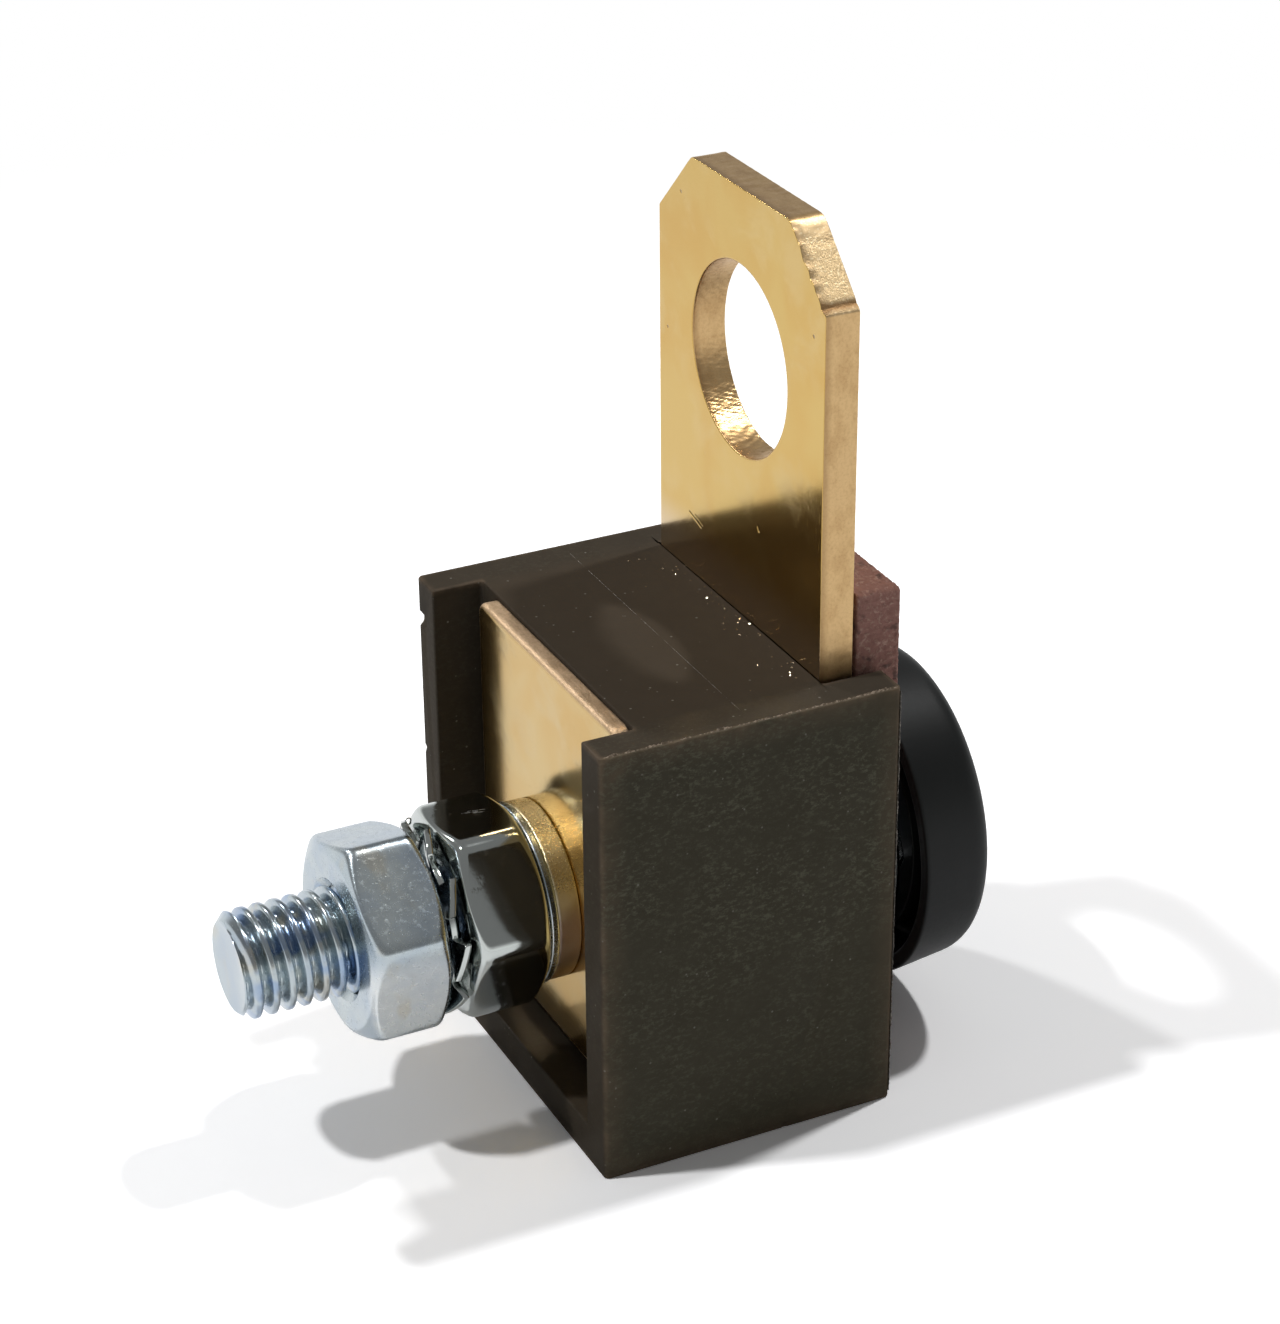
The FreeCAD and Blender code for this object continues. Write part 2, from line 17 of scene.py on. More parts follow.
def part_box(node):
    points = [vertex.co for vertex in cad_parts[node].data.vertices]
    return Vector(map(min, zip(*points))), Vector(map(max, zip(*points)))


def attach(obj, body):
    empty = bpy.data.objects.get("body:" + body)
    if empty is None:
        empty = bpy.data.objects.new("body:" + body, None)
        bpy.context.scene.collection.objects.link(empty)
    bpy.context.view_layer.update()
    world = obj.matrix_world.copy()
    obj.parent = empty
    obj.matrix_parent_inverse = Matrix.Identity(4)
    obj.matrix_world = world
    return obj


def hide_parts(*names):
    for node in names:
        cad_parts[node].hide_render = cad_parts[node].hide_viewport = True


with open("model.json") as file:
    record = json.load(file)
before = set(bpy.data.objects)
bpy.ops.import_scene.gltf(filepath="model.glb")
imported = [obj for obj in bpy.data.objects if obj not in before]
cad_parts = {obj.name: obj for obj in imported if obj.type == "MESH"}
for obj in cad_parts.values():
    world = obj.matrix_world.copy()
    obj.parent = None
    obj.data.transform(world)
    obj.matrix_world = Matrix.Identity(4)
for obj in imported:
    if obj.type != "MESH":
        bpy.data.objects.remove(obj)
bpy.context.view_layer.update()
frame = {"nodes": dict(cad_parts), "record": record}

MM = 0.001


def box_mm(node):
    """The lowest and the highest corner of a solid at rest, in millimetres."""
    low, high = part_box(node)
    return np.array(low) / MM, np.array(high) / MM


X, Y, Z = 0, 1, 2
block_low, block_high = box_mm("fuse_body")
print("block", np.round(block_high - block_low, 2))

# %% [markdown]
# ## Camera
# The photograph looks down on the block from the right and a little from the front. The place, the
# point looked at and the lens were found by matching the block's corners, so the same frame of
# 1280 by 1324 pixels shows the same edges. The frame is taller than wide, so the lens is held to
# the sensor's height.

# %% Camera
FRAME_HEIGHT = 1324
FOCAL_PIXELS = 3395.6
SENSOR = 36.0
CAMERA_PLACE = (152.65, -74.63, 112.95)
CAMERA_AIM = (0.0, -0.73, 24.92)
CAMERA_ROLL = -0.485
CLIP_START = 0.01


def add_object(name, data):
    """A new object in the scene, for a mesh, a lamp or a camera."""
    thing = bpy.data.objects.new(name, data)
    bpy.context.scene.collection.objects.link(thing)
    return thing


def make_camera():
    """Looks from its place to its aim, rolled about that line. Lens = focal pixels / frame * sensor."""
    data = bpy.data.cameras.new("camera")
    data.sensor_fit = "VERTICAL"
    data.sensor_height = SENSOR
    data.lens = FOCAL_PIXELS / FRAME_HEIGHT * SENSOR
    data.clip_start = CLIP_START
    camera = add_object("camera", data)
    place = Vector(CAMERA_PLACE) * MM
    heading = Vector(CAMERA_AIM) * MM - place
    turn = heading.to_track_quat("-Z", "Y")
    camera.rotation_mode = "QUATERNION"
    camera.rotation_quaternion = turn @ Quaternion((0, 0, 1), np.radians(CAMERA_ROLL))
    camera.location = place
    bpy.context.scene.camera = camera
    print("lens", round(data.lens, 2), "mm")


make_camera()

# %% [markdown]
# ## Shader maths
# A pattern on a surface is a formula, and it reads best as one. The class below wraps one output of
# a node, so that an expression such as `1 - mask * 0.5` adds the Math nodes that it needs. Every
# other node comes from one method that takes its type, its settings and what goes into its sockets.

# %% Values that are node outputs
def maths(operation, swapped=False):
    """A method that adds one Math node, for a value and what follows it, or the other way round."""

    def method(self, *others):
        values = (*others, self) if swapped else (self, *others)
        return self.nodes.node("Math", {"operation": operation}, dict(enumerate(values)))

    return method


class Value:
    """One output of a node. Arithmetic on values adds Math nodes."""

    def __init__(self, nodes, socket):
        self.nodes = nodes
        self.socket = socket

    __add__, __radd__ = maths("ADD"), maths("ADD", True)
    __sub__, __rsub__ = maths("SUBTRACT"), maths("SUBTRACT", True)
    __mul__, __rmul__ = maths("MULTIPLY"), maths("MULTIPLY", True)
    __truediv__, __rtruediv__ = maths("DIVIDE"), maths("DIVIDE", True)
    __abs__, root = maths("ABSOLUTE"), maths("SQRT")
    most, least = maths("MAXIMUM"), maths("MINIMUM")

    def rise(self, start, end):
        """0 before start, 1 after end, and an even S between."""
        settings = {"interpolation_type": "SMOOTHSTEP"}
        return self.nodes.node("MapRange", settings, {0: self, 1: start, 2: end, 3: 0.0, 4: 1.0})


print("shader maths ready")

# %% [markdown]
# ## Patterns and finishes
# Every pattern starts from where a point is on the piece, so it stays on the piece when that moves.
# Noise gives clouds and grain, cells give pits and sparks, and a bump turns a height into a tilt of
# the surface. A finish is a material whose base colour, roughness and height follow such patterns.

# %% A tree of nodes
class Nodes:
    """A node tree, and one method that adds any node to it."""

    def __init__(self, tree):
        self.tree = tree

    def node(self, kind, settings=None, inputs=None, output=0):
        """A node of a type: its settings first, then a value or a link for each socket named."""
        node = self.tree.nodes.new("ShaderNode" + kind)
        for title, setting in (settings or {}).items():
            setattr(node, title, setting)
        for key, value in (inputs or {}).items():
            self.feed(node.inputs[key], value)
        return Value(self, node.outputs[output])

    def feed(self, socket, value):
        """A link for a value, or a constant. A colour of three numbers gets its alpha."""
        if isinstance(value, Value):
            self.tree.links.new(value.socket, socket)
        elif isinstance(value, tuple) and len(value) == 3 and socket.type == "RGBA":
            socket.default_value = (*value, 1.0)
        else:
            socket.default_value = value

    def place(self, stretch=None):
        """Where a point is on the piece, scaled along each axis for a pattern that runs one way."""
        place = self.node("TexCoord", output="Object")
        if stretch is None:
            return place
        return self.node("VectorMath", {"operation": "MULTIPLY"}, {0: place, 1: stretch})

    def axes(self):
        """The point's X, Y and Z in millimetres, as three values."""
        split = self.node("SeparateXYZ", inputs={0: self.place()}).socket.node
        return [Value(self, split.outputs[axis]) / MM for axis in (X, Y, Z)]

    def attribute(self, name):
        """A number that the mesh keeps for every point."""
        return self.node("Attribute", {"attribute_name": name}, output="Fac")

    def noise(self, size, detail=3.0, rough=0.5, stretch=None, warp=0.0):
        """Cloudy noise, about 0 to 1, whose lumps are about size millimetres across."""
        inputs = {"Vector": self.place(stretch), "Scale": 1 / (size * MM), "Detail": detail,
                  "Roughness": rough, "Distortion": warp}
        return self.node("TexNoise", inputs=inputs)

    def cells(self, size):
        """How far a point is from the nearest of scattered points, which are about size millimetres apart."""
        inputs = {"Vector": self.place(), "Scale": 1 / (size * MM)}
        return self.node("TexVoronoi", inputs=inputs, output="Distance")

    def mix(self, first, second, share):
        """A colour between two: the first where the share is 0, the second where it is 1."""
        inputs = {"Factor": share, 6: first, 7: second}
        return self.node("Mix", {"data_type": "RGBA"}, inputs, 2)

    def bump(self, height, depth):
        """A normal for a surface whose height swings by depth millimetres."""
        inputs = {"Height": height, "Distance": depth * MM, "Strength": 1.0}
        return self.node("Bump", inputs=inputs, output="Normal")

    def rays(self, *kinds):
        """1 for a ray of one of these kinds, such as a camera ray."""
        path = self.node("LightPath").socket.node
        total = Value(self, path.outputs[f"Is {kinds[0]} Ray"])
        for kind in kinds[1:]:
            total = total.most(Value(self, path.outputs[f"Is {kind} Ray"]))
        return total


print("patterns ready")

# %% A finish
class Finish(Nodes):
    """A material and the nodes behind its Principled BSDF."""

    def __init__(self, name, **sockets):
        self.material = bpy.data.materials.new(name)
        self.material.use_nodes = True
        super().__init__(self.material.node_tree)
        self.surface = self.tree.nodes["Principled BSDF"]
        for title, value in sockets.items():
            self.set(title.replace("_", " ").title(), value)

    def set(self, title, value):
        """One socket of the surface, by its title."""
        self.feed(self.surface.inputs[title], value)

    def skin(self, base, roughness, height=None, depth=0.0):
        """What varies over the surface: its colour, its roughness, and a height that swings by depth."""
        self.set("Base Color", base)
        self.set("Roughness", roughness)
        if height is not None:
            self.set("Normal", self.bump(height, depth))
        print(f"finish {self.material.name}: {len(self.tree.nodes)} nodes")


print("finishes ready")

# %% [markdown]
# ## Surfaces from formulas
# A piece here is one or more grids of points. A turned piece is a profile carried round the screw's
# axis, and a stamped plate is a set of loops that shrink from its outline to its hole. Rows and
# columns that meet share their points, so the seams close when doubled points are merged.

# %% Grids to meshes
MERGE = 1e-7
CREASE = np.radians(40)


def new_mesh(name, points, faces):
    """A mesh from points in millimetres and from faces that number them."""
    mesh = bpy.data.meshes.new(name)
    mesh.from_pydata(points * MM, [], faces)
    return mesh


def grid_mesh(name, grids):
    """One mesh from grids of shape (rows, columns, 3): every cell of a grid is a face."""
    faces = []
    first = 0
    for grid in grids:
        rows, columns = grid.shape[:2]
        number = first + np.arange(rows * columns).reshape(rows, columns)
        corners = (number[:-1, :-1], number[:-1, 1:], number[1:, 1:], number[1:, :-1])
        faces.append(np.stack(corners, axis=-1).reshape(-1, 4))
        first += rows * columns
    return new_mesh(name, np.concatenate([grid.reshape(-1, 3) for grid in grids]), np.concatenate(faces))


def mend(mesh):
    """Merges doubled points, turns the faces outwards, and gives the number of open edges."""
    work = bmesh.new()
    work.from_mesh(mesh)
    bmesh.ops.remove_doubles(work, verts=work.verts, dist=MERGE)
    bmesh.ops.dissolve_degenerate(work, edges=work.edges, dist=MERGE)
    bmesh.ops.recalc_face_normals(work, faces=work.faces)
    open_edges = sum(1 for edge in work.edges if not edge.is_manifold)
    work.to_mesh(mesh)
    work.free()
    mesh.shade_smooth()
    return open_edges


print("points closer than", MERGE, "m are one")

# %% Grids to pieces
def make_piece(name, grids, finish, slot, body, *nodes, marks=None):
    """A closed piece from grids, which stands for the named solids.

    marks gives each grid a number for every point, kept on the mesh as the attribute "cut".
    """
    mesh = grid_mesh(name, grids)
    if marks is not None:
        cut = mesh.attributes.new("cut", "FLOAT", "POINT")
        cut.data.foreach_set("value", np.concatenate([mark.ravel() for mark in marks]).astype(np.float32))
    return finish_piece(name, mesh, finish, slot, body, *nodes)


def finish_piece(name, mesh, finish, slot, body, *nodes):
    """Mends the mesh, and gives the piece its finish, its body and the solids it stands for. The slot is not
    used.
    """
    open_edges = mend(mesh)
    mesh.set_sharp_from_angle(angle=CREASE)
    mesh.materials.append(finish.material)
    piece = add_object(name, mesh)
    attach(piece, body)
    if nodes:
        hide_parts(*nodes)
    print(f"{name}: {len(mesh.polygons)} faces, {open_edges} open edges")
    return piece


print("edges sharper than", round(np.degrees(CREASE)), "degrees stay sharp")

# %% Noise, softened corners and turned grids
def ripple(points, wavelength, seed, waves=28):
    """Smooth uneven noise, about -1 to 1: the sum of sine waves in random directions, near one wavelength."""
    draw = np.random.default_rng(seed)
    heading = draw.normal(size=(waves, 3))
    heading /= np.linalg.norm(heading, axis=1, keepdims=True)
    number = 2 * np.pi / wavelength * draw.uniform(0.6, 1.5, (waves, 1))
    phase = draw.uniform(0, 2 * np.pi, waves)
    return np.sin(points @ (heading * number).T + phase).sum(axis=-1) / np.sqrt(waves)


def softened(corners, reach, steps=5, closed=False):
    """A profile whose corners are short curves.

    corners has the shape (corner, column, 2). Each corner becomes a quadratic curve from a point
    its reach before it to a point its reach after it, with one more row just outside each end to
    keep the flats flat. A reach is a number, or one for each column with the shape (column, 1).
    """
    corners = np.asarray(corners, float)
    count = len(corners)
    rows = []
    for index in range(count):
        here = corners[index]
        if not closed and index in (0, count - 1) or np.all(reach[index] == 0):
            rows.append(here[None])
            continue
        before = corners[index - 1] - here
        after = corners[(index + 1) % count] - here
        before /= np.linalg.norm(before, axis=-1, keepdims=True) + 1e-12
        after /= np.linalg.norm(after, axis=-1, keepdims=True) + 1e-12
        share = np.linspace(0, 1, steps + 1)[:, None, None]
        bend = here + reach[index] * ((1 - share) ** 2 * before + share ** 2 * after)
        hold = 1.25 * reach[index]
        rows += [(here + hold * before)[None], bend, (here + hold * after)[None]]
    if closed:
        rows.append(rows[0][:1])
    return np.concatenate(rows)


washer_low, washer_high = box_mm("head_washer")
STUD_HEIGHT = washer_low[Z] / 2 + washer_high[Z] / 2


def angles(count):
    """Angles round the stud, right-handed about the way that the thread points."""
    return np.linspace(0, 2 * np.pi, count + 1)


def turn(profile, angle):
    """Carries a profile round the stud's axis.

    profile has the shape (row, column, 2) of radius and distance along -Y. A point goes to
    X = radius * cos(angle), Y = -distance, Z = stud height + radius * sin(angle).
    """
    profile = np.broadcast_to(profile, (profile.shape[0], len(angle), 2))
    radius, along = profile[..., 0], profile[..., 1]
    return np.stack([radius * np.cos(angle), -along, STUD_HEIGHT + radius * np.sin(angle)], axis=-1)


def ring_profile(inner, outer, start, end, reach):
    """The closed section of a flat washer, with softened edges."""
    corners = np.array([(inner, start), (outer, start), (outer, end), (inner, end)], float)[:, None]
    return softened(corners, [reach] * 4, closed=True)


print("stud height", round(STUD_HEIGHT, 2))

# %% [markdown]
# ## The moulding compound
# The block is pressed from a dark phenolic compound with chopped fibre in it. The fibres show as
# pale flecks just under a matte skin, more of them where the compound flowed last, and the edges
# are rubbed paler. Noise at three sizes gives the clouds, the flecks and the skin's grain, and the
# distance from the block's corners gives the rubbed edges.

# %% Moulding finish


lug_low, lug_high = box_mm("terminal_lug")
FRONT_POCKET = -box_mm("contact_plate")[1][Y]
REAR_POCKET = lug_low[Y]
POCKET_HALF = lug_high[X] + 0.3


def band(value, centre, width):
    """1 on a line, falling to 0 a width away from it."""
    return 1 - abs(value - centre).rise(0.0, width)


def rubbed_edges(finish, width):
    """1 along the block's uprights and its outer and inner top edges, and 0 on the flush web."""
    x, y, z = finish.axes()
    pocket = (y * -1).rise(FRONT_POCKET - 0.2, FRONT_POCKET) + y.rise(REAR_POCKET - 0.2, REAR_POCKET)
    side = band(abs(x), block_high[X], width)
    inside = band(abs(x), POCKET_HALF, width) * pocket
    end = band(abs(y), block_high[Y], width)
    top = band(z, block_high[Z], width)
    foot = band(z, 0.0, width)
    return (side * end + side * top + inside * top + end * top + side * foot + end * foot).least(1.0)


def make_moulding():
    """Dark compound, greener outside than in: clouds, then flecks, then rubbed edges, then a few sparks."""
    finish = Finish("moulding")
    x, _, z = finish.axes()
    clouds = finish.noise(6.0, 2.0)
    flow = finish.noise(1.8, 3.0, 0.6)
    grain = finish.noise(0.13, 3.0, 0.7)
    smooth_top = z.rise(26.5, 26.75) * (1 - abs(x).rise(POCKET_HALF - 1.0, POCKET_HALF + 0.6))
    outer = abs(x).rise(block_high[X] - 0.25, block_high[X] - 0.05)
    fibres = finish.noise(0.26, 3.0, 0.7, stretch=(1.0, 0.7, 1.3)).rise(0.46, 0.70)
    denser = (z / block_high[Z]).rise(0.0, 0.7) * 0.6 + 0.4
    flecks = fibres * denser * clouds.rise(0.20, 0.60) * (outer * 0.8 + 0.2) * (1 - smooth_top)
    sparks = finish.cells(0.55).rise(0.16, 0.07) * finish.noise(0.8, 2.0).rise(0.55, 0.62)
    rubbed = rubbed_edges(finish, 0.42) * flow.rise(0.25, 0.65)
    inner_colour = finish.mix((0.036, 0.029, 0.021), (0.048, 0.039, 0.029), flow)
    outer_colour = finish.mix((0.041, 0.036, 0.023), (0.055, 0.050, 0.034), flow)
    base = finish.mix(inner_colour, outer_colour, outer)
    base = finish.mix(base, finish.mix((0.046, 0.036, 0.026), (0.053, 0.042, 0.031), flow), smooth_top)
    base = finish.mix(base, (0.098, 0.074, 0.048), rubbed_edges(finish, 1.9) * outer * flow)
    base = finish.mix(base, (0.116, 0.115, 0.081), flecks * 0.64)
    base = finish.mix(base, (0.150, 0.105, 0.070), rubbed * 0.42)
    base = finish.mix(base, (0.26, 0.25, 0.22), sparks * 0.40)
    finish.set("Specular IOR Level", 0.0)
    finish.set("Coat Weight", 0.12 - smooth_top * 0.085)
    finish.set("Coat Roughness", 0.38)
    height = grain * (0.7 - smooth_top * 0.5) + flecks * 0.5 + flow * 0.5
    finish.skin(base, 0.48 + grain * 0.14, height, 0.022)
    return finish


moulding = make_moulding()

# %% [markdown]
# ## The block
# The block's walls, floor and web are right as solids, but their edges are knife sharp. A copy of
# the solid's mesh is merged into clean faces, and a bevel rounds every edge by the little that a
# worn mould leaves. The places stay exactly the solid's.

# %% Block
EDGE_ROUND = 0.16
AT_BLADE = 0.25
SAME_POINT = 1e-6
FLAT = np.radians(1)
EDGE_BEND = np.radians(30)
BEVEL_STEPS = 3


def clean_copy(node, name):
    """The node's mesh with its doubled points merged and its flat faces joined."""
    source = frame["nodes"][node].data
    points = np.empty(len(source.vertices) * 3)
    source.vertices.foreach_get("co", points)
    faces = [tuple(polygon.vertices) for polygon in source.polygons]
    mesh = bpy.data.meshes.new(name)
    mesh.from_pydata(points.reshape(-1, 3), [], faces)
    work = bmesh.new()
    work.from_mesh(mesh)
    bmesh.ops.remove_doubles(work, verts=work.verts, dist=SAME_POINT)
    bmesh.ops.dissolve_limit(work, angle_limit=FLAT, verts=work.verts, edges=work.edges)
    work.to_mesh(mesh)
    work.free()
    return mesh


def round_edges(piece, width):
    """Rounds the edges by a width, and by a part of it where the web meets the blade."""
    work = bmesh.new()
    work.from_mesh(piece.data)
    weight = work.edges.layers.float.new("bevel_weight_edge")
    for edge in work.edges:
        middle = (edge.verts[0].co + edge.verts[1].co) / 2 / MM
        at_blade = abs(middle.y - REAR_POCKET) < EDGE_ROUND and middle.z > block_high[Z] - 0.01
        share = AT_BLADE if at_blade and abs(middle.x) < POCKET_HALF - 1 else 1.0
        edge[weight] = share if edge.calc_face_angle(0.0) > EDGE_BEND else 0.0
    work.to_mesh(piece.data)
    work.free()
    bevel = piece.modifiers.new("rounded_edges", "BEVEL")
    bevel.width = width * MM
    bevel.segments = BEVEL_STEPS
    bevel.limit_method = "WEIGHT"
    bevel.harden_normals = True


block_mesh = clean_copy("fuse_body", "moulded_block")
block = finish_piece("moulded_block", block_mesh, moulding, "moulding", "fuse", "fuse_body")
round_edges(block, EDGE_ROUND)

# %% [markdown]
# ## Chips in the block
# The moulding has a few small bites out of its edges. Each is an uneven pebble that is cut out of
# the rounded block with a boolean. The result is kept as a plain mesh, and the pebbles are removed.

# %% Chips
CHIPS = (
    ((-12.35, -9.45, 24.2), (1.6, 0.74, 0.62)),
    ((-12.55, -9.35, 15.6), (0.9, 0.50, 0.45)),
    ((-12.50, -9.30, 21.6), (0.45, 0.40, 0.60)),
    ((-12.60, -9.25, 12.4), (0.50, 0.35, 0.70)),
    ((12.52, 2.3, 0.10), (0.30, 0.45, 0.34)),
    ((12.50, -9.30, 17.5), (0.32, 0.30, 1.10)),
    ((12.48, -9.32, 8.1), (0.28, 0.32, 0.60)),
)
PEBBLE_ROWS = 25
PEBBLE_COLUMNS = 49
PEBBLE_SEED = 60
UNEVEN = 0.10


def pebble(place, radii, seed):
    """A sphere stretched to three radii, whose surface is pushed in and out by a tenth."""
    down = np.linspace(0, np.pi, PEBBLE_ROWS)[:, None]
    around = np.linspace(0, 2 * np.pi, PEBBLE_COLUMNS)
    parts = (np.sin(down) * np.cos(around), np.sin(down) * np.sin(around), np.cos(down) + 0 * around)
    shape = np.stack(parts, axis=-1)
    shape = shape * (1 + UNEVEN * ripple(shape, 1.1, seed))[..., None]
    return shape * np.array(radii) + np.array(place)


def cut_pebbles(piece, chips):
    """Cuts the pebbles out of a piece, and keeps the result as its mesh."""
    grids = [pebble(place, radii, PEBBLE_SEED + number) for number, (place, radii) in enumerate(chips)]
    mesh = grid_mesh("pebbles", grids)
    mend(mesh)
    cutter = add_object("pebbles", mesh)
    boolean = piece.modifiers.new("chips", "BOOLEAN")
    boolean.operation = "DIFFERENCE"
    boolean.solver = "EXACT"
    boolean.object = cutter
    bpy.context.view_layer.update()
    evaluated = piece.evaluated_get(bpy.context.evaluated_depsgraph_get())
    kept = bpy.data.meshes.new_from_object(evaluated)
    piece.modifiers.clear()
    piece.data = kept
    bpy.data.objects.remove(cutter)
    print("block with chips:", len(kept.polygons), "faces")


cut_pebbles(block, CHIPS)

# %% [markdown]
# ## Flash and the mould line
# Where the two halves of the mould met, a thin ragged fin was pressed out along the top of the
# right wall, a lower one down its rear edge, and a hairline runs across the web. Each is a strip
# with a triangular section, whose height follows noise along its length. The fin broke off pale in
# places, and the hairline and the rear fin are darker, so there are two finishes.

# %% Flash and mould line
STRIP_ROWS = 700


def strip(start, end, outwards, half_width, height, seed, sink):
    """A ridge from one point to another: a triangle that is carried along and whose height varies."""
    start, end, outwards = np.array(start, float), np.array(end, float), np.array(outwards, float)
    share = np.linspace(0, 1, STRIP_ROWS)[:, None]
    path = start + (end - start) * share
    heading = (end - start) / np.linalg.norm(end - start)
    aside = np.cross(heading, outwards) * half_width
    uneven = np.clip(0.45 + 0.55 * ripple(path, 0.9, seed) + 0.35 * ripple(path, 0.22, seed + 1), 0.02, 1.4)
    ends = np.clip(np.minimum(share, 1 - share)[:, 0] * 30, 0, 1)
    lift = (height * uneven * ends)[:, None] * outwards
    foot = path - outwards * sink
    section = np.stack([foot - aside, path + lift - aside * 0.2, foot + aside], axis=1)
    section = np.concatenate([section, section[:, :1]], axis=1)
    caps = [np.stack([section[row, :1].repeat(4, 0), section[row]]) for row in (0, -1)]
    return [section] + caps


UP, BACK = (0, 0, 1), (0, 1, 0)
fin = block_high[X] - 0.13
top, rear = block_high[Z], block_high[Y]
flash = strip((fin, -rear + 0.2, top), (fin, rear - 0.2, top), UP, 0.07, 0.10, 71, 0.05)
rear_flash = strip((fin, rear, 0.4), (fin, rear, top - 0.3), BACK, 0.07, 0.045, 75, 0.05)
line = strip((-11.6, 0.1, top), (10.9, 0.0, top), UP, 0.045, 0.020, 81, 0.02)


def make_fin_finish(name, dark, pale, start, end):
    """Moulding that is thin or rubbed: dark, with pale places where a noise passes from start to end."""
    finish = Finish(name)
    grain = finish.noise(0.2, 2.0, 0.6)
    finish.set("Specular IOR Level", 0.2)
    finish.skin(finish.mix(dark, pale, grain.rise(start, end)), 0.45 + grain * 0.2)
    return finish


flash_finish = make_fin_finish("flash", (0.10, 0.075, 0.050), (0.34, 0.27, 0.20), 0.40, 0.65)
seam_finish = make_fin_finish("seam", (0.066, 0.055, 0.042), (0.22, 0.20, 0.165), 0.50, 0.68)
make_piece("mould_flash", flash, flash_finish, "moulding", "fuse")
make_piece("mould_line", line + rear_flash, seam_finish, "moulding", "fuse")

# %% [markdown]
# ## Brass
# The blade and the plate are cut from rolled brass strip and polished, so they mirror their
# surroundings with a faint cloudiness and a few fine scratches. Where the shear cut them, the edge
# is dull and grooved through the thickness. The attribute "cut" is 1 on those edges, so one
# material holds both looks. The blade's foot is dusty from the block, and its scratches are short
# lines at chosen places.

# %% Brass finish
def scratch(finish, start, end, width, over=(X, Z)):
    """1 along a line from start to end, given on two axes, falling to 0 a width away."""
    place = finish.axes()
    first, second = place[over[0]], place[over[1]]
    run = np.subtract(end, start)
    length = np.hypot(*run)
    run = run / length
    along = (first - start[0]) * run[0] + (second - start[1]) * run[1]
    aside = (first - start[0]) * -run[1] + (second - start[1]) * run[0]
    ends = (abs(along - length / 2) - length / 2).rise(width, 0.0)
    return abs(aside).rise(width, 0.0) * ends


BLADE_MARKS = (
    ((-5.9, 30.5), (-4.5, 30.1), 0.09),
    ((-5.2, 30.6), (-4.3, 30.3), 0.06),
    ((2.45, 33.05), (2.55, 32.85), 0.16),
    ((-7.0, 49.6), (-6.95, 49.55), 0.12),
    ((8.4, 46.5), (8.45, 46.45), 0.13),
    ((-8.7, 41.0), (-8.65, 40.95), 0.10),
)
LUG_CLIP = 4.0
CLIP_X, CLIP_Z = lug_high[X] - LUG_CLIP, lug_high[Z] - LUG_CLIP
DUST_TOP, DUST_FULL = 31.0, 27.6
hole_mount = next(mount for mount in frame["record"]["mounts"] if mount["name"] == "lug_hole")
HOLE_HEIGHT = hole_mount["pos_m"][Z] / MM
HOLE_RADIUS = hole_mount["dims"]["r_mm"]


def make_brass(name, face_colours, cut_colours, grit, marks=(), on_blade=0.0):
    """Polished faces and rough cut edges, mixed by "cut". Grit is how deep the edges' grain is.

    on_blade is 1 for the blade, which has a dusty foot and a dark lip where the shear went in.
    """
    finish = Finish(name, metallic=1.0)
    x, y, z = finish.axes()
    cut = finish.attribute("cut")
    clouds = finish.noise(7.0, 2.0, 0.5, warp=0.5).rise(0.36, 0.64)
    bloom = finish.noise(3.6, 3.0, 0.6, warp=0.3).rise(0.46, 0.76)
    waves = finish.noise(9.0, 1.0, 0.5)
    grain = finish.noise(0.10, 3.0, 0.6)
    speckle = finish.noise(0.17, 3.0, 0.7)
    sparkle = finish.cells(0.20).rise(0.42, 0.20)
    streaks = finish.noise(1.3, 3.0, 0.6, stretch=(1.0, 1.6, 0.8))
    fine = finish.noise(0.7, 2.0, 0.6, stretch=(14.0, 1.0, 0.7)).rise(0.66, 0.75)
    pits = finish.cells(2.4).rise(0.045, 0.02)
    corner = x.rise(CLIP_X - 0.1, CLIP_X + 0.1)
    torn = corner * z.rise(CLIP_Z - 0.1, CLIP_Z + 0.1) * cut
    ragged = torn * x.rise(CLIP_X + 0.6, CLIP_X + 1.0)
    in_front = y.rise(lug_high[Y] - 0.5, lug_low[Y] + 0.5)
    dusty = z.rise(DUST_TOP, DUST_FULL) * on_blade
    face = finish.mix(finish.mix(*face_colours[:2], clouds), face_colours[2], bloom * 0.6)
    face = finish.mix(face, (0.70, 0.58, 0.45), dusty * 0.7)
    edge = finish.mix(*cut_colours, speckle.rise(0.42, 0.75) * 0.4 + streaks.rise(0.4, 0.7) * 0.45)
    edge = finish.mix(edge, (0.86, 0.70, 0.44), torn * (0.45 + sparkle * 0.55))
    lip = y.rise(lug_low[Y] + 0.55, lug_low[Y] + 0.05) * on_blade
    # foot is painted shade: a dark band along the foot of the torn corner, where its dented edge faces down.
    foot = band(z, CLIP_Z + 0.30, 0.34) * torn
    edge = finish.mix(edge, (0.26, 0.145, 0.060), (lip * 0.45 + foot).least(0.9))
    scores = 0.0
    for start, end, width in marks:
        scores = scratch(finish, start, end, width) * in_front + scores
    face = finish.mix(face, (0.22, 0.13, 0.05), scores * z.rise(34.0, 36.0))
    polish = 0.095 + waves * 0.07 + grain * 0.02 + bloom * 0.06
    dull = 0.28 + grit * 0.035 + speckle * 0.14 + torn * 0.14
    dents = pits * 0.8 + fine * 0.12 + scores * 2.5
    rough = cut * grit * (speckle - 0.5) + ragged * (speckle * 2.2 + grain * 3.4 - 2.8)
    height = rough - dents * (1 - cut) + waves * 1.4 + bloom * 0.5 + grain * 0.10
    finish.skin(finish.mix(face, edge, cut), polish * (1 - cut) + cut * dull, height, 0.010)
    return finish


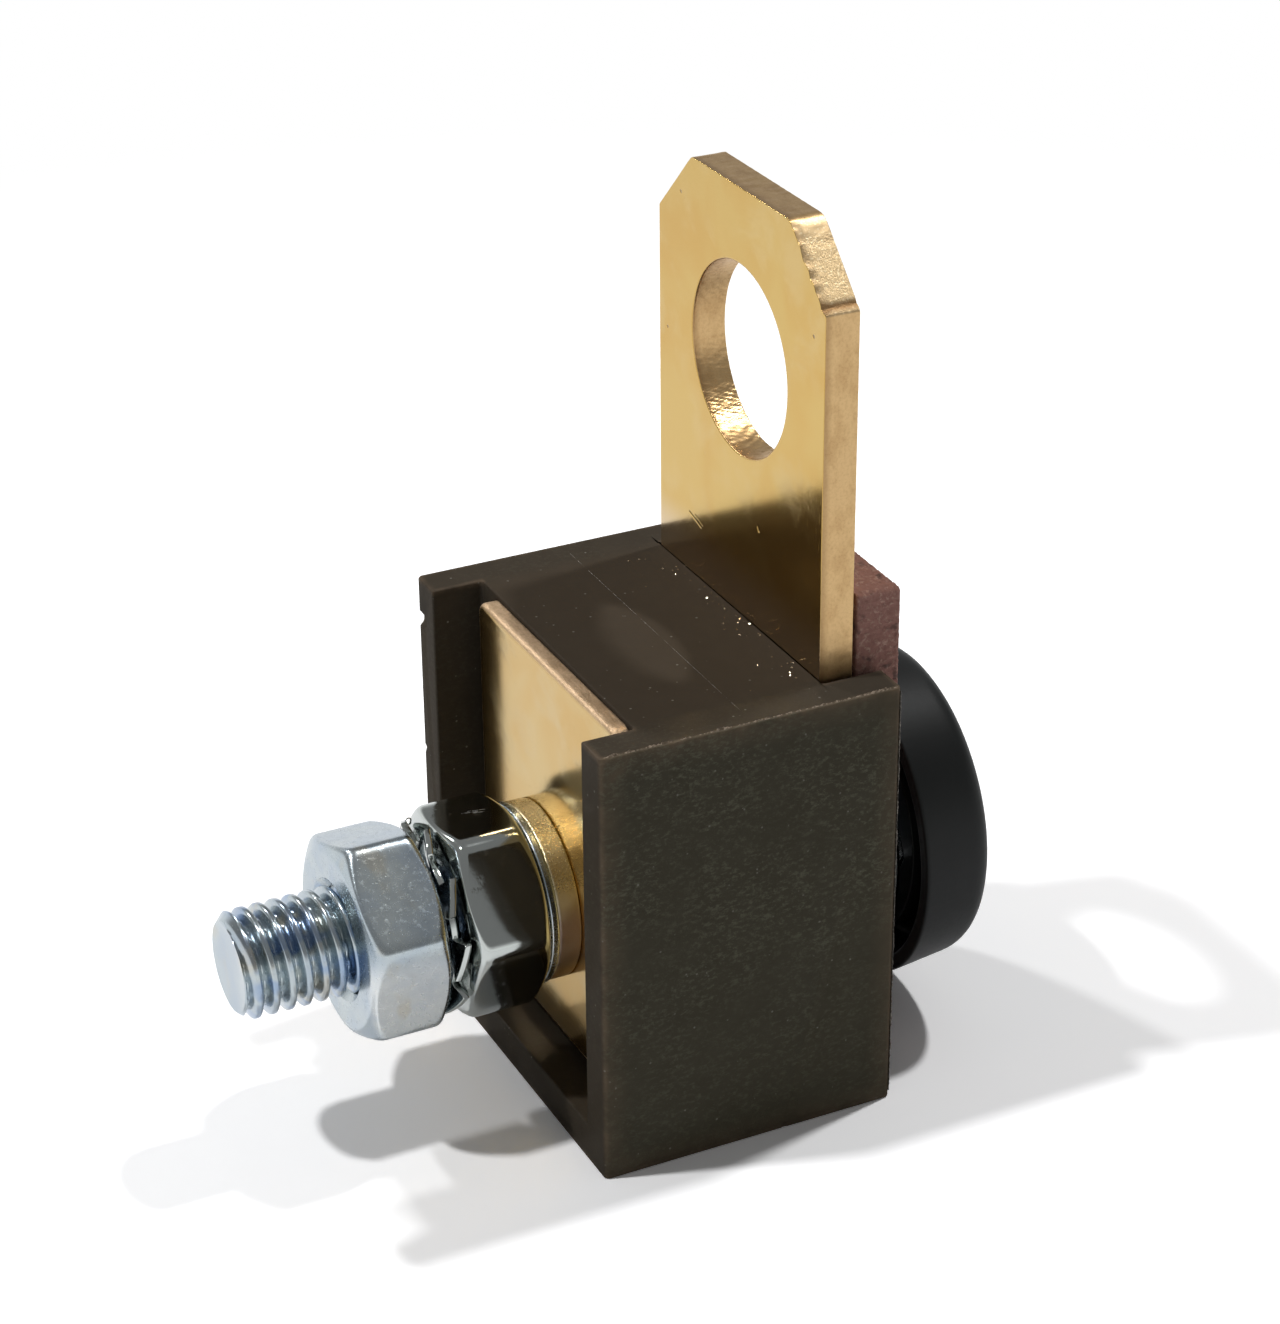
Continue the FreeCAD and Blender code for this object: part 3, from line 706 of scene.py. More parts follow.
brass = make_brass("polished_brass", ((0.62, 0.42, 0.125), (0.60, 0.375, 0.095), (0.66, 0.48, 0.20)),
                   ((0.66, 0.45, 0.22), (0.46, 0.28, 0.12)), 0.5, BLADE_MARKS, 1.0)
plate_brass = make_brass("plate_brass", ((0.60, 0.43, 0.17), (0.58, 0.37, 0.11), (0.62, 0.48, 0.24)),
                         ((0.66, 0.48, 0.31), (0.34, 0.23, 0.13)), 5.0)

# %% [markdown]
# ## Stamped plates
# A punch leaves a plate with a rounded entry edge, a wall that is smooth and then torn, and a
# sharper edge where the metal broke away. The wall is a grid that runs round the outline and across
# the thickness, so noise can push it in and out. Each face is a grid of loops that shrink from the
# outline to the hole.

# %% Outlines, walls and faces of a plate
BORDER = 0.28
CORNER = 0.30
STEP = 0.12
WALL_ROWS = 14


def rounded_outline(corners, radius):
    """Points about a step apart round an anticlockwise polygon, with outward normals.

    Each corner is an arc of the radius, or of its own radius if a list is given. Also gives the
    number of the first point of every corner.
    """
    corners = np.asarray(corners, float)
    radius = np.broadcast_to(radius, len(corners))
    ahead = np.roll(corners, -1, axis=0) - corners
    ahead /= np.linalg.norm(ahead, axis=1, keepdims=True)
    behind = np.roll(ahead, 1, axis=0)
    turned = np.arctan2(behind[:, 0] * ahead[:, 1] - behind[:, 1] * ahead[:, 0], (behind * ahead).sum(axis=1))
    cut_back = radius * np.tan(turned / 2)
    points, normals, starts = [], [], []
    for index, corner in enumerate(corners):
        starts.append(sum(len(part) for part in points))
        sweep = np.linspace(0, turned[index], 6 if turned[index] > 0.01 else 1)
        normal_angle = np.arctan2(-behind[index][0], behind[index][1]) + sweep
        normal = np.stack([np.cos(normal_angle), np.sin(normal_angle)], axis=1)
        centre = corner - behind[index] * cut_back[index] - normal[0] * radius[index]
        arc = centre + radius[index] * normal
        following = (index + 1) % len(corners)
        end = corners[following] - ahead[index] * cut_back[following]
        count = max(2, int(np.linalg.norm(end - arc[-1]) / STEP))
        line = arc[-1] + (end - arc[-1]) * np.linspace(0, 1, count + 1)[1:-1, None]
        points += [arc, line]
        normals += [normal, np.repeat(normal[-1:], len(line), axis=0)]
    return np.concatenate(points), np.concatenate(normals), starts


def wall_rows(front, rear, front_round, rear_round, rows=WALL_ROWS, border=BORDER):
    """The section of a cut edge: pairs of inset and Y from the front face round to the rear face."""
    inner = np.linspace(front + 1.3 * front_round, rear - 1.3 * rear_round, rows)
    corners = [(border, front), (0.0, front)] + [(0.0, y) for y in inner] + [(0.0, rear), (border, rear)]
    reach = [0, front_round] + [0] * rows + [rear_round, 0]
    return softened(np.array(corners)[:, None], reach)[:, 0]


def wall_grid(points, normals, section, roughness=None):
    """The outline carried along the section: inwards by its inset, and pushed out by the roughness."""
    inset = section[:, 0, None, None]
    flat = points[None] - normals[None] * inset
    height = np.broadcast_to(section[:, 1, None, None], flat.shape[:2] + (1,))
    grid = np.concatenate([flat[..., :1], height, flat[..., 1:]], axis=-1)
    if roughness is not None:
        push = roughness(grid) * (1 - inset[..., 0] / inset.max())
        grid = grid + np.stack([push * normals[:, 0], 0 * push, push * normals[:, 1]], axis=-1)
    return grid


def hole_rim(loop, centre, radius):
    """The points of a circle that lie in the same directions from its centre as a loop's points."""
    heading = loop - centre
    return centre + radius * heading / np.linalg.norm(heading, axis=1, keepdims=True)


def face_grid(loop, centre, radius, y, rows=6):
    """Loops that shrink in a straight line from a loop to a circle about the centre."""
    rim = hole_rim(loop, centre, radius)
    share = np.linspace(0, 1, rows + 1)[:, None, None]
    flat = loop * (1 - share) + rim * share
    return np.stack([flat[..., 0], np.full(flat.shape[:2], y), flat[..., 1]], axis=-1)


def hole_grid(loop, centre, radius, section, roughness=None):
    """The wall of a hole: the section's inset widens it."""
    rim = hole_rim(loop, centre, radius)
    normals = (centre - rim) / radius
    return wall_grid(rim, normals, section, roughness)


def closed(row):
    """A row of points that ends with its first point."""
    return np.concatenate([row, row[:1]])


def wall_mark(grid):
    """1 on the wall and its roundings, and 0 where they reach the faces."""
    depth = grid[..., Y] - grid[..., Y].min()
    return np.clip(depth / 0.04, 0, 1) * (depth < depth.max() - 0.02)


def plate_grids(loops, walls):
    """The grids of a plate and their cut marks: walls are cut, faces are not."""
    marks = [np.zeros(grid.shape[:2]) for grid in loops] + [wall_mark(grid) for grid in walls]
    return loops + walls, marks


def one_hole_plate(node, radius, corner, front_round, rear_round, roughness, border=BORDER):
    """A rectangular plate with the stud's hole, in the place of its solid."""
    low, high = box_mm(node)
    corners = [(low[X], low[Z]), (high[X], low[Z]), (high[X], high[Z]), (low[X], high[Z])]
    points, normals = (closed(row) for row in rounded_outline(corners, corner)[:2])
    section = wall_rows(low[Y], high[Y], front_round, rear_round, border=border)
    loop = points - normals * border
    centre = np.array([0.0, STUD_HEIGHT])
    faces = [face_grid(loop, centre, radius + border, y) for y in (low[Y], high[Y])]
    walls = [wall_grid(points, normals, section, roughness), hole_grid(loop, centre, radius, section)]
    return plate_grids(faces, walls)


print("border round a hole", BORDER, "mm, points every", STEP, "mm")

# %% Contact plate
WASHER_HOLE = 3.275
PLATE_CORNER = 0.8
PLATE_ROUND = 0.38
PLATE_BORDER = 0.52


def sheared(amount, seed, size=0.25):
    """Uneven grooves across the thickness, as the shear leaves them: drawn-out noise and finer noise."""

    def roughness(grid):
        across_grain = grid * np.array([1.0, 0.25, 1.0])
        return amount * (ripple(across_grain, size, seed) + 0.6 * ripple(grid, size / 2, seed + 1))

    return roughness


plate_edge = (PLATE_ROUND, 0.10, sheared(0.006, 3), PLATE_BORDER)
grids, marks = one_hole_plate("contact_plate", WASHER_HOLE, PLATE_CORNER, *plate_edge)
make_piece("contact_plate_brass", grids, plate_brass, "brass", "fuse", "contact_plate", marks=marks)

# %% [markdown]
# ## The blade
# The blade has two holes, so its faces are two sets of loops that meet on a level line between
# them. One upper corner was clipped by a worn tool: its edge is torn and bright.

# %% Terminal blade
FACES_MEET = block_high[Z] - 2.0
SLEEVE_HOLE = 4.225
MEET_POINTS = 60
BLADE_ROWS = 18
LEFT_MEET = 5


def torn_corner(grid):
    """Sheared all round, and several times rougher on the clipped corner on the right."""
    clip = (grid[..., X] > CLIP_X + 0.2) & (grid[..., Z] > CLIP_Z + 0.1)
    depth = np.clip((grid[..., Y] - lug_low[Y]) / 0.5, 0, 1)
    plain = sheared(0.004, 11, 0.6)(grid) - 0.012
    torn = 0.006 * ripple(grid * np.array([1, 0.30, 1]), 0.34, 21) + 0.004 * ripple(grid, 0.22, 22)
    rolled = 0.07 * (1 - depth) * (1.2 + ripple(grid, 1.0, 23))
    from_foot = np.abs(grid[..., Z] - lug_high[Z] + LUG_CLIP - 0.35)
    return plain + clip * (torn - rolled - 0.09 * np.clip(1 - from_foot / 0.20, 0, 1))


def punched(grid):
    """A punched hole: smooth at the front, and torn in its last part, and everywhere low down."""
    depth = (grid[..., Y] - lug_low[Y]) / (lug_high[Y] - lug_low[Y])
    low_left = np.clip((HOLE_HEIGHT - 2.0 - grid[..., Z]) / 2.0, 0, 1)
    amount = 0.003 + 0.008 * np.clip(depth - 0.6, 0, 1) + 0.008 * low_left
    return amount * (ripple(grid * np.array([1.0, 0.5, 1.0]), 0.30, 31) + 0.7 * ripple(grid, 0.16, 32))


def make_blade():
    """An outline with clipped corners, an upper loop for the bolt's hole and a lower one for the sleeve."""
    half = lug_high[X]
    top = lug_high[Z]
    corners = [
        (half, FACES_MEET), (half, top - LUG_CLIP), (half - LUG_CLIP, top), (LUG_CLIP - half, top),
        (-half, top - LUG_CLIP), (-half, FACES_MEET), (-half, lug_low[Z]), (half, lug_low[Z]),
    ]
    radii = [CORNER, CORNER, 1.3, 0.7, CORNER, CORNER, CORNER, CORNER]
    points, normals, starts = rounded_outline(corners, radii)
    left = starts[LEFT_MEET]
    inset = points - normals * BORDER
    share = np.linspace(0, 1, MEET_POINTS)[:, None]
    meet = inset[left] * (1 - share) + inset[0] * share
    upper = np.concatenate([inset[:left + 1], meet[1:]])
    lower = np.concatenate([inset[left:], inset[:1], meet[::-1][1:]])
    section = wall_rows(lug_low[Y], lug_high[Y], 0.05, 0.06, BLADE_ROWS)
    hole_section = wall_rows(lug_low[Y], lug_high[Y], 0.13, 0.05, BLADE_ROWS)
    faces, walls = [], [wall_grid(closed(points), closed(normals), section, torn_corner)]
    holes = ((upper, HOLE_HEIGHT, HOLE_RADIUS), (lower, STUD_HEIGHT, SLEEVE_HOLE))
    for loop, level, radius in holes:
        centre = np.array([0.0, level])
        faces += [face_grid(loop, centre, radius + BORDER, y) for y in (lug_low[Y], lug_high[Y])]
        walls.append(hole_grid(loop, centre, radius, hole_section, punched))
    return plate_grids(faces, walls)


grids, marks = make_blade()
make_piece("terminal_blade", grids, brass, "brass", "fuse", "terminal_lug", marks=marks)

# %% [markdown]
# ## Brass dust
# Polishing left grains of brass on the web in front of the blade. They are a few dozen flat
# three-sided flakes at seeded random places, each turned its own way and lying on the web.

# %% Brass dust
DUST = 55
DUST_SIZE = (0.03, 0.085)
DUST_SEED = 7


def make_dust():
    """For each flake a flat random triangle and a low point above it, which makes a tetrahedron."""
    draw = np.random.default_rng(DUST_SEED)
    size = draw.uniform(*DUST_SIZE, DUST)[:, None]
    place = np.stack([draw.uniform(-9.0, 9.4, DUST), lug_low[Y] - 0.15 - draw.exponential(0.7, DUST),
                      np.full(DUST, block_high[Z] + 0.004)], axis=1)
    place[:, Y] = np.maximum(place[:, Y], 0.4)
    heading = draw.uniform(0, 2 * np.pi, DUST)[:, None] + np.array([0, 2.2, 4.1])
    around = np.stack([np.cos(heading), np.sin(heading), 0.25 * draw.uniform(0, 1, heading.shape)], axis=-1)
    base = place[:, None] + size[..., None] * around
    top = place + np.concatenate([np.zeros((DUST, 2)), size * 0.45], axis=1)
    points = np.concatenate([base, top[:, None]], axis=1).reshape(-1, 3)
    first = 4 * np.arange(DUST)[:, None]
    sides = ((0, 2, 1), (0, 1, 3), (1, 2, 3), (2, 0, 3))
    faces = np.concatenate([first + np.array(side) for side in sides])
    finish_piece("brass_dust", new_mesh("brass_dust", points, faces), brass, "brass", "fuse")


make_dust()

# %% [markdown]
# ## Fibre plate
# Vulcanised fibre is pressed paper: reddish brown, matte, with dark and pale flecks, and its cut
# edges are a little furry.

# %% Fibre finish and plate
def make_fibre():
    """Red brown in layers, with pale flecks and dark ones, and fine fur in the bump."""
    finish = Finish("fibre")
    layers = finish.noise(0.5, 3.0, 0.6, stretch=(1.0, 2.5, 1.0))
    flecks = finish.noise(0.30, 3.0, 0.7).rise(0.50, 0.68)
    dark = finish.noise(0.8, 2.0, 0.6).rise(0.56, 0.72)
    fine = finish.noise(0.1, 3.0, 0.7)
    base = finish.mix((0.20, 0.092, 0.072), (0.34, 0.170, 0.135), layers)
    base = finish.mix(base, (0.52, 0.34, 0.27), flecks * 0.55)
    base = finish.mix(base, (0.050, 0.026, 0.022), dark * 0.7)
    finish.skin(base, 0.82 + fine * 0.12, layers + fine * 0.7 + flecks * 0.5, 0.05)
    return finish


fibre = make_fibre()
grids, marks = one_hole_plate("fibre_plate", WASHER_HOLE, CORNER, 0.16, 0.16, sheared(0.03, 41, 0.35))
make_piece("fibre_insulator", grids, fibre, "fibre", "fuse", "fibre_plate", marks=marks)

# %% [markdown]
# ## Zinc plate
# The screw and the outer nut are zinc plated with a pale blue passivation: a satin grey with tints
# that drift from blue to straw, and small pits. The outer nut's lower flat is painted paler, a painted
# reflection of the floor.
# The inner nut and the washers are bright zinc that mirrors the room, with drawn scratches, and
# three short bright ones on the inner nut's top flat.

# %% Zinc finishes
screw_low, screw_high = box_mm("terminal_screw")


def make_zinc():
    """Grey from two close tints, with straw and blue patches, bluer on the shank than on the nut."""
    finish = Finish("blue_zinc", metallic=1.0)
    x, y, z = finish.axes()
    across_axis = (x * x + (z - STUD_HEIGHT) * (z - STUD_HEIGHT)).root()
    shank = across_axis.rise(3.7, 3.2)
    tint = finish.noise(4.0, 2.0, 0.5)
    straw = finish.noise(3.0, 2.0, 0.5, stretch=(1.0, 1.6, 1.0)).rise(0.56, 0.70)
    blue = finish.noise(1.6, 2.0, 0.5, stretch=(1.0, 0.6, 1.0)).rise(0.45, 0.60)
    mottle = finish.noise(0.7, 3.0, 0.6)
    specks = finish.noise(0.16, 2.0, 0.7).rise(0.66, 0.74)
    pits = 1 - finish.cells(0.9).rise(0.03, 0.10)
    scuffs = finish.noise(0.35, 3.0, 0.75).rise(0.54, 0.72) * (1 - shank)
    # Painted reflection: the outer nut's lower flat, which faces down towards the white floor, is painted
    # paler.
    painted_floor_reflection = x.rise(4.4, 5.3) * z.rise(STUD_HEIGHT + 2.0, STUD_HEIGHT)
    base = finish.mix((0.42, 0.49, 0.55), (0.52, 0.58, 0.60), tint.rise(0.35, 0.65))
    base = finish.mix(base, (0.74, 0.77, 0.77), painted_floor_reflection * (0.55 + mottle * 0.6) * (1 - shank))
    base = finish.mix(base, (0.58, 0.53, 0.41), straw * 0.45)
    behind_tip = y.rise(screw_low[Y] + 0.1, screw_low[Y] + 0.7)
    base = finish.mix(base, (0.26, 0.37, 0.56), blue * (shank * behind_tip * 0.55 + 0.12))
    roughness = 0.17 + tint * 0.08 + mottle * 0.08 + specks * 0.10 + scuffs * 0.08 - shank * 0.05
    finish.skin(base, roughness, mottle * 1.6 + specks * 0.4 + scuffs * 0.9 - pits * 2, 0.003)
    return finish


NUT_SCRATCHES = (
    ((-0.95, -11.5), (-0.75, -10.6), 0.05),
    ((-1.05, -11.1), (-0.80, -10.1), 0.04),
    ((-0.70, -10.9), (-0.55, -10.3), 0.05),
)


def make_bright_zinc():
    """A mirror with grain drawn along the axis, scuffs, and scratches where the top flat is."""
    finish = Finish("bright_zinc", metallic=1.0)
    tint = finish.noise(3.0, 2.0, 0.5)
    drawn = finish.noise(0.5, 3.0, 0.6, stretch=(6.0, 1.0, 6.0))
    scuffs = finish.noise(0.8, 3.0, 0.7).rise(0.58, 0.75)
    base = finish.mix((0.50, 0.54, 0.53), (0.58, 0.61, 0.59), tint)
    on_top = finish.axes()[Z].rise(STUD_HEIGHT + 4.6, STUD_HEIGHT + 4.9)
    scored = 0.0
    for start, end, width in NUT_SCRATCHES:
        scored = scratch(finish, start, end, width, (X, Y)) * on_top + scored
    scored = scored.least(1.0) * finish.noise(0.12, 2.0, 0.6).rise(0.35, 0.55)
    roughness = 0.07 + scuffs * 0.14 + drawn * 0.04 + scored * 0.45
    finish.skin(finish.mix(base, (0.85, 0.86, 0.86), scored), roughness, drawn * 0.5 + scuffs * 0.5, 0.004)
    return finish


zinc = make_zinc()
bright = make_bright_zinc()

# %% [markdown]
# ## The thread
# A rolled thread is one ridge that winds round the shank. The radius at an angle and a distance
# along the screw depends only on where they stand in the pitch, so one formula makes the screw's
# ridge and the grooves inside the nuts, and they mesh however far a nut has turned.

# %% Thread formula
PITCH = 25.4 / 26
CREST = 3.125
ROOT = 2.50
CREST_LAND = 0.20
ROOT_LAND = 0.06
TIP = -screw_low[Y]
HEAD_SEAT = -washer_high[Y]
THREAD_START = HEAD_SEAT + 19.0
TIP_CHAMFER = 0.52


def thread_radius(angle, along):
    """The screw's radius: a wave of the place in the pitch, with flat crests and roots."""
    phase = (along / PITCH - angle / (2 * np.pi)) % 1
    ridge = np.clip((np.abs(2 * phase - 1) - ROOT_LAND) / (1 - ROOT_LAND - CREST_LAND), 0, 1)
    ridge = 0.25 * ridge + 0.75 * (0.5 - 0.5 * np.cos(np.pi * ridge ** 0.85))
    return ROOT + (CREST - ROOT) * ridge


print("screw from", round(HEAD_SEAT, 2), "to", round(TIP, 2))

# %% [markdown]
# ## Hexagons
# A hexagon's radius is the distance to its flat divided by a power mean of how far each flat faces
# the angle. A high power gives true flats with slightly rounded corners. The turned chamfer is a
# cone that cuts the corners, so each flat ends in an arc.

# %% Hexagon formula
ACROSS_FLATS = 11.11
FLATS = 6
CORNER_POWER = 34
CHAMFER_SLOPE = np.tan(np.radians(24))
FACE_INSET = 0.40
CORNER_SPAN = 8.5
CORNER_POINTS = 17


def hexagon(angle, turned, power=CORNER_POWER):
    """The radius of a hexagon whose first corner is turned by an angle."""
    flats = turned + np.pi / 6 + 2 * np.pi / FLATS * np.arange(FLATS)
    facing = np.clip(np.cos(angle[:, None] - flats), 0, None)
    return ACROSS_FLATS / 2 / (facing ** power).sum(axis=1) ** (1 / power)


def hexagon_angles(turned, even=96):
    """Angles all round, closer together at the six corners."""
    corners = np.radians(turned + 360 / FLATS * np.arange(FLATS))
    close = corners[:, None] + np.radians(np.linspace(-CORNER_SPAN, CORNER_SPAN, CORNER_POINTS))
    both = np.concatenate([np.linspace(0, 2 * np.pi, even, endpoint=False), close.ravel() % (2 * np.pi)])
    angle = np.unique(np.round(both, 6))
    return np.append(angle, angle[0] + 2 * np.pi)


def chamfered(angle, turned, face, inwards, power=CORNER_POWER):
    """The two rows of a chamfer: its circle on the face, and the arcs where it meets the flats."""
    start = ACROSS_FLATS / 2 - FACE_INSET
    reach = hexagon(angle, turned, power)
    fall = (reach - start) * CHAMFER_SLOPE
    circle = np.stack([np.full_like(angle, start), np.full_like(angle, face)], axis=-1)
    arcs = np.stack([reach, face + inwards * fall], axis=-1)
    return [circle, arcs]


print("across flats", ACROSS_FLATS, "mm, across corners", round(2 * hexagon(np.zeros(1), 0)[0], 2), "mm")

# %% [markdown]
# ## Screw
# The screw is one turned grid: the tip's face and chamfer, the rolled thread, the plain shank and
# the hexagon head that the cap grips.

# %% Screw
ROWS_PER_TURN = 16
DISH = 0.06


def column(angle, radius, along):
    """One row of a profile: a radius and a distance, each a number or one value for every angle."""
    return np.stack(np.broadcast_arrays(radius + 0 * angle, along + 0 * angle), axis=-1)


def make_screw():
    """From the head's rear face to its seat and the shank, along the thread, and over the dished tip."""
    angle = hexagon_angles(0, even=108)
    shank = np.linspace(THREAD_START, TIP, int((TIP - THREAD_START) / PITCH * ROWS_PER_TURN))[:, None]
    cone = CREST - TIP_CHAMFER + (TIP - shank)
    fade = np.clip((shank - THREAD_START) / PITCH, 0, 1)
    radius = np.minimum(CREST + (thread_radius(angle, shank) - CREST) * fade, cone)
    thread = np.stack([radius, np.broadcast_to(shank, radius.shape)], axis=-1)
    end = radius[-1]
    dish = [column(angle, end * share, TIP - DISH * (1 - share ** 4)) for share in (0.97, 0.85, 0.5, 0.0)]
    head_rear = -screw_high[Y]
    head = chamfered(angle, 0, head_rear, 1)
    back = [column(angle, 0.0, head_rear)] + head + [column(angle, hexagon(angle, 0), HEAD_SEAT)]
    back += [column(angle, CREST, HEAD_SEAT), column(angle, CREST, THREAD_START)]
    reach = [0, 0.08, 0.06, 0.06, 0.05, 0]
    profile = np.concatenate([softened(np.array(back), reach, 3), thread, np.array(dish)])
    return turn(profile, angle)


make_piece("zinc_screw", [make_screw()], zinc, "zinc", "fuse", "terminal_screw")

# %% [markdown]
# ## Nuts
# A nut is a closed loop carried round the axis: the outer face, the chamfers and the flats, and
# back through the threaded bore. The bore follows the screw's own ridge with a little clearance.
# The inner nut was tumbled before it was plated, so its corners are rounder than the outer nut's.

# %% Nuts
ARC_SOFTNESS = 0.42
TUMBLED_POWER = 20
BORE_GAP = 0.06
MOUTH = 0.42
MOUTH_GAP = 0.05
FACE_ROUND = 0.15
BORE_ROWS = 72


def make_nut(node, turned_degrees, power):
    """In the solid's place, with its first corner turned by an angle, and rounder for a lower power."""
    low, high = box_mm(node)
    front, rear = -low[Y], -high[Y]
    turned = np.radians(turned_degrees)
    angle = hexagon_angles(turned_degrees)
    mouth = CREST + MOUTH_GAP + MOUTH
    outside = [column(angle, mouth, rear)] + chamfered(angle, turned, rear, 1, power)
    outside += chamfered(angle, turned, front, -1, power)[::-1] + [column(angle, mouth, front)]
    bend = ARC_SOFTNESS * (hexagon(angle, turned, power) - ACROSS_FLATS / 2 + FACE_INSET)[:, None]
    shell = softened(np.array(outside), [0, FACE_ROUND, bend, bend, FACE_ROUND, 0], 6)
    depth = np.linspace(front, rear, BORE_ROWS)[:, None]
    cone = mouth - np.minimum(front - depth, depth - rear)
    radius = np.maximum(thread_radius(angle, depth) + BORE_GAP, cone)
    bore = np.stack([radius, np.broadcast_to(depth, radius.shape)], axis=-1)
    return turn(np.concatenate([shell, bore]), angle)


CLAMP_NUT_TURN = 5.0
CABLE_NUT_TURN = 19.0
inner_nut = make_nut("clamp_nut", CLAMP_NUT_TURN, TUMBLED_POWER)
outer_nut = make_nut("cable_nut", CABLE_NUT_TURN, CORNER_POWER)
make_piece("inner_nut", [inner_nut], bright, "bright_zinc", "fuse", "clamp_nut")
make_piece("outer_nut", [outer_nut], zinc, "zinc", "nut", "cable_nut")

# %% [markdown]
# ## Flat washers
# The flat washers are rings with softened edges: one under the screw's head, one thin one between
# the collar and the inner nut. Each is a small closed section carried once round the axis.

# %% Flat washers
RING_ANGLES = 144


def make_ring(node, reach):
    """A ring in the place of its solid, whose edges are softened by a reach."""
    low, high = box_mm(node)
    outer = (high[Z] - low[Z]) / 2
    return turn(ring_profile(WASHER_HOLE, outer, -high[Y], -low[Y], reach), angles(RING_ANGLES))


make_piece("head_washer_zinc", [make_ring("head_washer", 0.22)], bright, "bright_zinc", "fuse", "head_washer")
make_piece("thin_washer_zinc", [make_ring("thin_washer", 0.14)], zinc, "bright_zinc", "fuse", "thin_washer")

# %% [markdown]
# ## Brass collar
# The collar was turned from bar, which leaves fine rings round it, and it has tarnished since. Its
# colour is also painted by height, as reflections on a shiny cylinder: grey brown on top, a painted
# highlight band, a painted dark violet reflection in the middle, and a painted warm reflection below.

# %% Turned brass and collar
def make_turned_brass():
    """Painted reflections by height above the stud, mottled by tarnish, over rings that run round the axis.
    """
    finish = Finish("turned_brass", metallic=1.0)
    rings = finish.noise(0.25, 3.0, 0.6, stretch=(1.0, 9.0, 1.0))
    grain = finish.noise(0.12, 3.0, 0.7)
    tarnish = finish.noise(2.6, 2.0, 0.5)
    height = finish.axes()[Z] - STUD_HEIGHT
    # Masks of painted reflections by height: a painted highlight band above the stud, and a painted dark band
    # across it.
    painted_highlight_band = height.rise(1.2, 3.4) * height.rise(6.0, 4.6)
    painted_violet_reflection = height.rise(1.9, 0.4) * height.rise(-3.4, -1.6)
    base = finish.mix((0.56, 0.49, 0.36), (0.42, 0.33, 0.22), tarnish.rise(0.35, 0.6))
    # Painted reflections from the bottom up: warm brown below, dark violet in the middle, a bright painted
    # highlight band above.
    base = finish.mix(base, (0.70, 0.47, 0.24), height.rise(-1.8, -3.4) * 0.8)
    base = finish.mix(base, (0.27, 0.19, 0.17), painted_violet_reflection * 0.75)
    base = finish.mix(base, (1.0, 0.86, 0.50), painted_highlight_band * (0.35 + grain * 0.7))
    finish.skin(base, 0.26 + grain * 0.18 - painted_highlight_band * 0.1, rings + grain * 1.6, 0.014)
    return finish


turned_brass = make_turned_brass()
make_piece("collar_brass", [make_ring("brass_collar", 0.16)], turned_brass, "brass", "fuse", "brass_collar")

# %% [markdown]
# ## Toothed washer
# The washer is a ring whose outer edge springs out into nine teeth, each twisted about its own
# middle so that its edges bite both nuts. The bite raised a curl of metal at the top: a thin tube
# that is carried along a spiral and ends in a point. It is a second grid of the same piece, so it
# travels with the washer.

# %% Toothed washer
TEETH = 9
RING_RADIUS = 4.5
TOOTH_REACH = 1.1
TOOTH_TWIST = np.radians(-19)
TOOTH_WIDTH = 2.1
TOOTH_THICKNESS = 0.40
TOOTH_ROUND = 0.12
TOOTH_FLANK = 0.14
TOOTH_ANGLES = 56


def make_lock_washer():
    """Radius out = ring + reach where a tooth stands; lift = sideways distance * tan(twist) out there."""
    low, high = box_mm("lock_washer")
    middle = -(low[Y] + high[Y]) / 2
    angle = angles(TEETH * TOOTH_ANGLES)
    pitch = 2 * np.pi / TEETH
    sideways = ((angle + pitch / 2) % pitch - pitch / 2) * (RING_RADIUS + TOOTH_REACH / 2)
    tooth = np.clip((TOOTH_WIDTH / 2 + TOOTH_FLANK / 2 - np.abs(sideways)) / TOOTH_FLANK, 0, 1)
    tooth = tooth * tooth * (3 - 2 * tooth)
    outer = RING_RADIUS + TOOTH_REACH * tooth
    half = TOOTH_THICKNESS / 2
    span = RING_RADIUS + TOOTH_REACH - WASHER_HOLE
    corners = [(0, -half)] + [(span * share, -half) for share in (0.3, 0.55, 0.8)] + [(span, -half)]
    corners += [(out, half) for out, _ in corners[::-1]]
    reach = [TOOTH_ROUND, 0, 0, 0, TOOTH_ROUND, TOOTH_ROUND, 0, 0, 0, TOOTH_ROUND]
    section = softened(np.array(corners)[:, None], reach, 4, closed=True)[:, 0]
    radius = WASHER_HOLE + (outer - WASHER_HOLE) * section[:, :1] / span
    out = np.clip((radius - RING_RADIUS + 0.2) / TOOTH_REACH, 0, 1)
    lift = sideways * np.tan(TOOTH_TWIST * out) * tooth
    return turn(np.stack([radius, middle + lift + section[:, 1:]], axis=-1), angle)


CURL_PLACE = (-2.0, -14.42, 17.17)
CURL_RADIUS = 0.25
CURL_TURNS = 1.35
CURL_TUBE = 0.05
CURL_ROWS, CURL_SIDES = 60, 8


def make_curl():
    """A shaving on a tooth: a tube round a spiral, both thinner towards the end."""
    share = np.linspace(0, 1, CURL_ROWS)[:, None]
    spin = 2 * np.pi * CURL_TURNS * share - np.pi / 2
    radial = np.concatenate([0 * spin, np.cos(spin), np.sin(spin)], axis=1)
    path = np.array(CURL_PLACE) + CURL_RADIUS * (1 - 0.55 * share) * radial + share * np.array([0.35, 0, 0])
    around = np.linspace(0, 2 * np.pi, CURL_SIDES + 1)[None, :, None]
    section = np.cos(around) * radial[:, None] + np.sin(around) * np.array([1.0, 0, 0])
    tube = path[:, None] + CURL_TUBE * (1 - 0.5 * share)[:, None] * section
    ends = [np.broadcast_to(path[row], (1, CURL_SIDES + 1, 3)) for row in (0, -1)]
    return np.concatenate([ends[0], tube, ends[1]])


